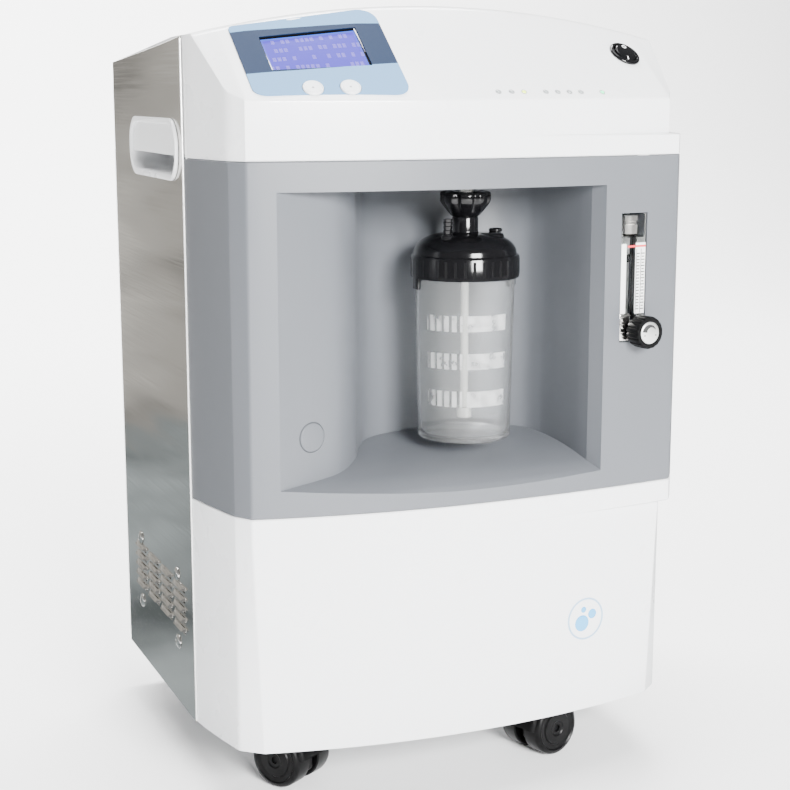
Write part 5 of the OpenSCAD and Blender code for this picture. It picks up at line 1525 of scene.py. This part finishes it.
def reflector(name, matrix, size, colour, glow):
    """A card that only the polished sides mirror, with soft level streaks."""
    bm = bmesh.new()
    bmesh.ops.create_grid(bm, x_segments=1, y_segments=1, size=0.5)
    bmesh.ops.scale(bm, vec=(size[0], size[1], 1), verts=bm.verts)
    bmesh.ops.transform(bm, matrix=matrix, verts=bm.verts)
    mesh = bpy.data.meshes.new(name)
    bm.to_mesh(mesh)
    bm.free()
    card = bpy.data.objects.new(name, mesh)
    bpy.context.scene.collection.objects.link(card)
    look, nodes, links, shader = new_finish(name)
    place = nodes.new("ShaderNodeTexCoord")
    stretch = nodes.new("ShaderNodeMapping")
    stretch.inputs["Scale"].default_value = (2.6, 2.6, 5.5)
    links.new(place.outputs["Object"], stretch.inputs["Vector"])
    noise = nodes.new("ShaderNodeTexNoise")
    noise.inputs["Scale"].default_value = 1.6
    noise.inputs["Detail"].default_value = 3.0
    links.new(stretch.outputs["Vector"], noise.inputs["Vector"])
    ramp = nodes.new("ShaderNodeMapRange")
    ramp.inputs["From Min"].default_value = 0.35
    ramp.inputs["From Max"].default_value = 0.65
    ramp.inputs["To Min"].default_value = 0.35
    ramp.inputs["To Max"].default_value = 1.35
    links.new(noise.outputs["Fac"], ramp.inputs["Value"])
    tint = nodes.new("ShaderNodeVectorMath")
    tint.operation = "SCALE"
    tint.inputs[0].default_value = colour
    links.new(ramp.outputs["Result"], tint.inputs["Scale"])
    links.new(tint.outputs["Vector"], shader.inputs["Emission Color"])
    shader.inputs["Emission Strength"].default_value = glow
    shader.inputs["Base Color"].default_value = (0, 0, 0, 1)
    shader.inputs["Roughness"].default_value = 1.0
    shader.inputs["Specular IOR Level"].default_value = 0.0
    card.data.materials.append(look)
    card.visible_camera = False
    card.visible_diffuse = False
    card.visible_shadow = False
    card.visible_transmission = False


CAMERA_PLACE = Vector((-0.4992, -1.2096, 0.5270))
CAMERA_YAW = math.radians(22.71)
CAMERA_PITCH = math.radians(10.70)
CAMERA_ROLL = math.radians(-0.07)
CAMERA_LENS = 74.14


def build_stage():
    world = bpy.data.worlds.new("Studio")
    bpy.context.scene.world = world
    world.use_nodes = True
    sky = world.node_tree.nodes["Background"]
    sky.inputs["Color"].default_value = (1, 1, 1, 1)
    sky.inputs["Strength"].default_value = 0.34
    bm = bmesh.new()
    sweep = rounded_all([Vector((-8, 0)), Vector((4, 0)), Vector((4, 5))], 2.0, 16)
    skin(bm, [[Vector((x, p.x, p.y)) for p in sweep] for x in (-8.0, 8.0)])
    mesh = bpy.data.meshes.new("floor")
    bm.to_mesh(mesh)
    bm.free()
    floor = bpy.data.objects.new("floor", mesh)
    bpy.context.scene.collection.objects.link(floor)
    for face in floor.data.polygons:
        face.use_smooth = True
    look = moulded("Studio floor", (0.97, 0.97, 0.97), 0.8, 0.03, 40.0, 0.02, 0.0, shine=0.1)
    floor.data.materials.append(look)
    area_light("Key", (0.05, -2.5, 1.1), (0, 0, 0.3), (0.9, 0.7), 270)
    area_light("Top", (0.2, -0.3, 2.6), (0, 0, 0.2), (1.4, 1.2), 46)
    area_light("Backdrop wash", (0, 1.4, 3.2), (0, 3.6, 0.4), (3.0, 1.0), 620)
    for side, sign in (("Left", -1), ("Right", 1)):
        upright = (Matrix.Translation((sign * 1.0, 1.1, 0.9)) @ Matrix.Rotation(-sign * 0.25, 4, "Z")
                   @ Matrix.Rotation(math.pi / 2, 4, "X"))
        reflector(f"{side} card", upright, (1.7, 1.8), (0.66, 0.64, 0.60), 1.0)
        flat = Matrix.Translation((sign * 0.9, 0.6, 0.004))
        reflector(f"{side} low card", flat, (1.4, 1.6), (0.40, 0.45, 0.465), 1.0)
    data = bpy.data.cameras.new("Camera")
    data.lens = CAMERA_LENS
    data.sensor_width = 36.0
    camera = bpy.data.objects.new("Camera", data)
    camera.matrix_world = (Matrix.Translation(CAMERA_PLACE) @ Matrix.Rotation(-CAMERA_YAW, 4, "Z")
                           @ Matrix.Rotation(math.pi / 2 - CAMERA_PITCH, 4, "X")
                           @ Matrix.Rotation(CAMERA_ROLL, 4, "Z"))
    bpy.context.scene.collection.objects.link(camera)
    bpy.context.scene.camera = camera


# ---------- add-on ----------
class CONCENTRATOR_OT_stage(bpy.types.Operator):
    """Sets up the floor, lights and camera"""

    bl_idname = "concentrator.stage"
    bl_label = "Stage"

    def execute(self, context):
        build_stage()
        return {"FINISHED"}


class CONCENTRATOR_OT_covers(bpy.types.Operator):
    """Builds the moulded covers"""

    bl_idname = "concentrator.covers"
    bl_label = "Moulded covers"

    def execute(self, context):
        build_console()
        build_band_cover()
        build_lower_cover()
        build_rear_cover()
        build_plug()
        build_badge()
        return {"FINISHED"}


class CONCENTRATOR_OT_sides(bpy.types.Operator):
    """Builds the steel side panels with their louvres and handle cups"""

    bl_idname = "concentrator.sides"
    bl_label = "Steel sides"

    def execute(self, context):
        for side, sign in (("left", -1), ("right", 1)):
            build_steel_side(side, sign)
            build_handle(side, sign)
            build_bead(side, sign)
        build_screws()
        return {"FINISHED"}


class CONCENTRATOR_OT_controls(bpy.types.Operator):
    """Builds the keypad film, display, buttons, lamps and power switch"""

    bl_idname = "concentrator.controls"
    bl_label = "Controls"

    def execute(self, context):
        build_keypad()
        build_display()
        build_button("left")
        build_button("right")
        build_lamps()
        build_switch()
        return {"FINISHED"}


class CONCENTRATOR_OT_humidifier(bpy.types.Operator):
    """Builds the humidifier's nut, lid and jar"""

    bl_idname = "concentrator.humidifier"
    bl_label = "Humidifier"

    def execute(self, context):
        build_nut()
        build_lid()
        build_jar()
        return {"FINISHED"}


class CONCENTRATOR_OT_flowmeter(bpy.types.Operator):
    """Builds the flowmeter and its knob"""

    bl_idname = "concentrator.flowmeter"
    bl_label = "Flowmeter"

    def execute(self, context):
        build_flowmeter()
        build_knob()
        return {"FINISHED"}


class CONCENTRATOR_OT_casters(bpy.types.Operator):
    """Builds the four twin-wheel casters"""

    bl_idname = "concentrator.casters"
    bl_label = "Casters"

    def execute(self, context):
        for corner in CASTERS:
            build_caster(corner)
        return {"FINISHED"}


class CONCENTRATOR_OT_filter(bpy.types.Operator):
    """Builds the rear filter grille"""

    bl_idname = "concentrator.filter"
    bl_label = "Filter grille"

    def execute(self, context):
        build_filter_door()
        return {"FINISHED"}


class CONCENTRATOR_OT_inner(bpy.types.Operator):
    """Gives the parts inside the cabinet their finishes"""

    bl_idname = "concentrator.inner"
    bl_label = "Inner parts"

    def execute(self, context):
        finish_cad_nodes()
        return {"FINISHED"}


OPERATORS = (CONCENTRATOR_OT_stage, CONCENTRATOR_OT_covers, CONCENTRATOR_OT_sides, CONCENTRATOR_OT_controls,
             CONCENTRATOR_OT_humidifier, CONCENTRATOR_OT_flowmeter, CONCENTRATOR_OT_casters,
             CONCENTRATOR_OT_filter, CONCENTRATOR_OT_inner)


class CONCENTRATOR_PT_panel(bpy.types.Panel):
    """Lists the pieces and their settings"""

    bl_label = "Concentrator"
    bl_idname = "CONCENTRATOR_PT_panel"
    bl_space_type = "VIEW_3D"
    bl_region_type = "UI"
    bl_category = "Concentrator"

    def draw(self, context):
        for operator in OPERATORS:
            self.layout.operator(operator.bl_idname)
        for settings in (context.scene.concentrator_sizes, context.scene.concentrator_colours):
            for name in settings.__annotations__:
                self.layout.prop(settings, name)


CLASSES = (ConcentratorSizes, ConcentratorColours, *OPERATORS, CONCENTRATOR_PT_panel)


def register():
    for cls in CLASSES:
        bpy.utils.register_class(cls)
    bpy.types.Scene.concentrator_sizes = bpy.props.PointerProperty(type=ConcentratorSizes)
    bpy.types.Scene.concentrator_colours = bpy.props.PointerProperty(type=ConcentratorColours)


def unregister():
    del bpy.types.Scene.concentrator_colours
    del bpy.types.Scene.concentrator_sizes
    for cls in reversed(CLASSES):
        bpy.utils.unregister_class(cls)


def main():
    register()
    bpy.ops.concentrator.stage()
    bpy.ops.concentrator.covers()
    bpy.ops.concentrator.sides()
    bpy.ops.concentrator.controls()
    bpy.ops.concentrator.humidifier()
    bpy.ops.concentrator.flowmeter()
    bpy.ops.concentrator.casters()
    bpy.ops.concentrator.filter()
    bpy.ops.concentrator.inner()


if __name__ == "__main__":
    main()
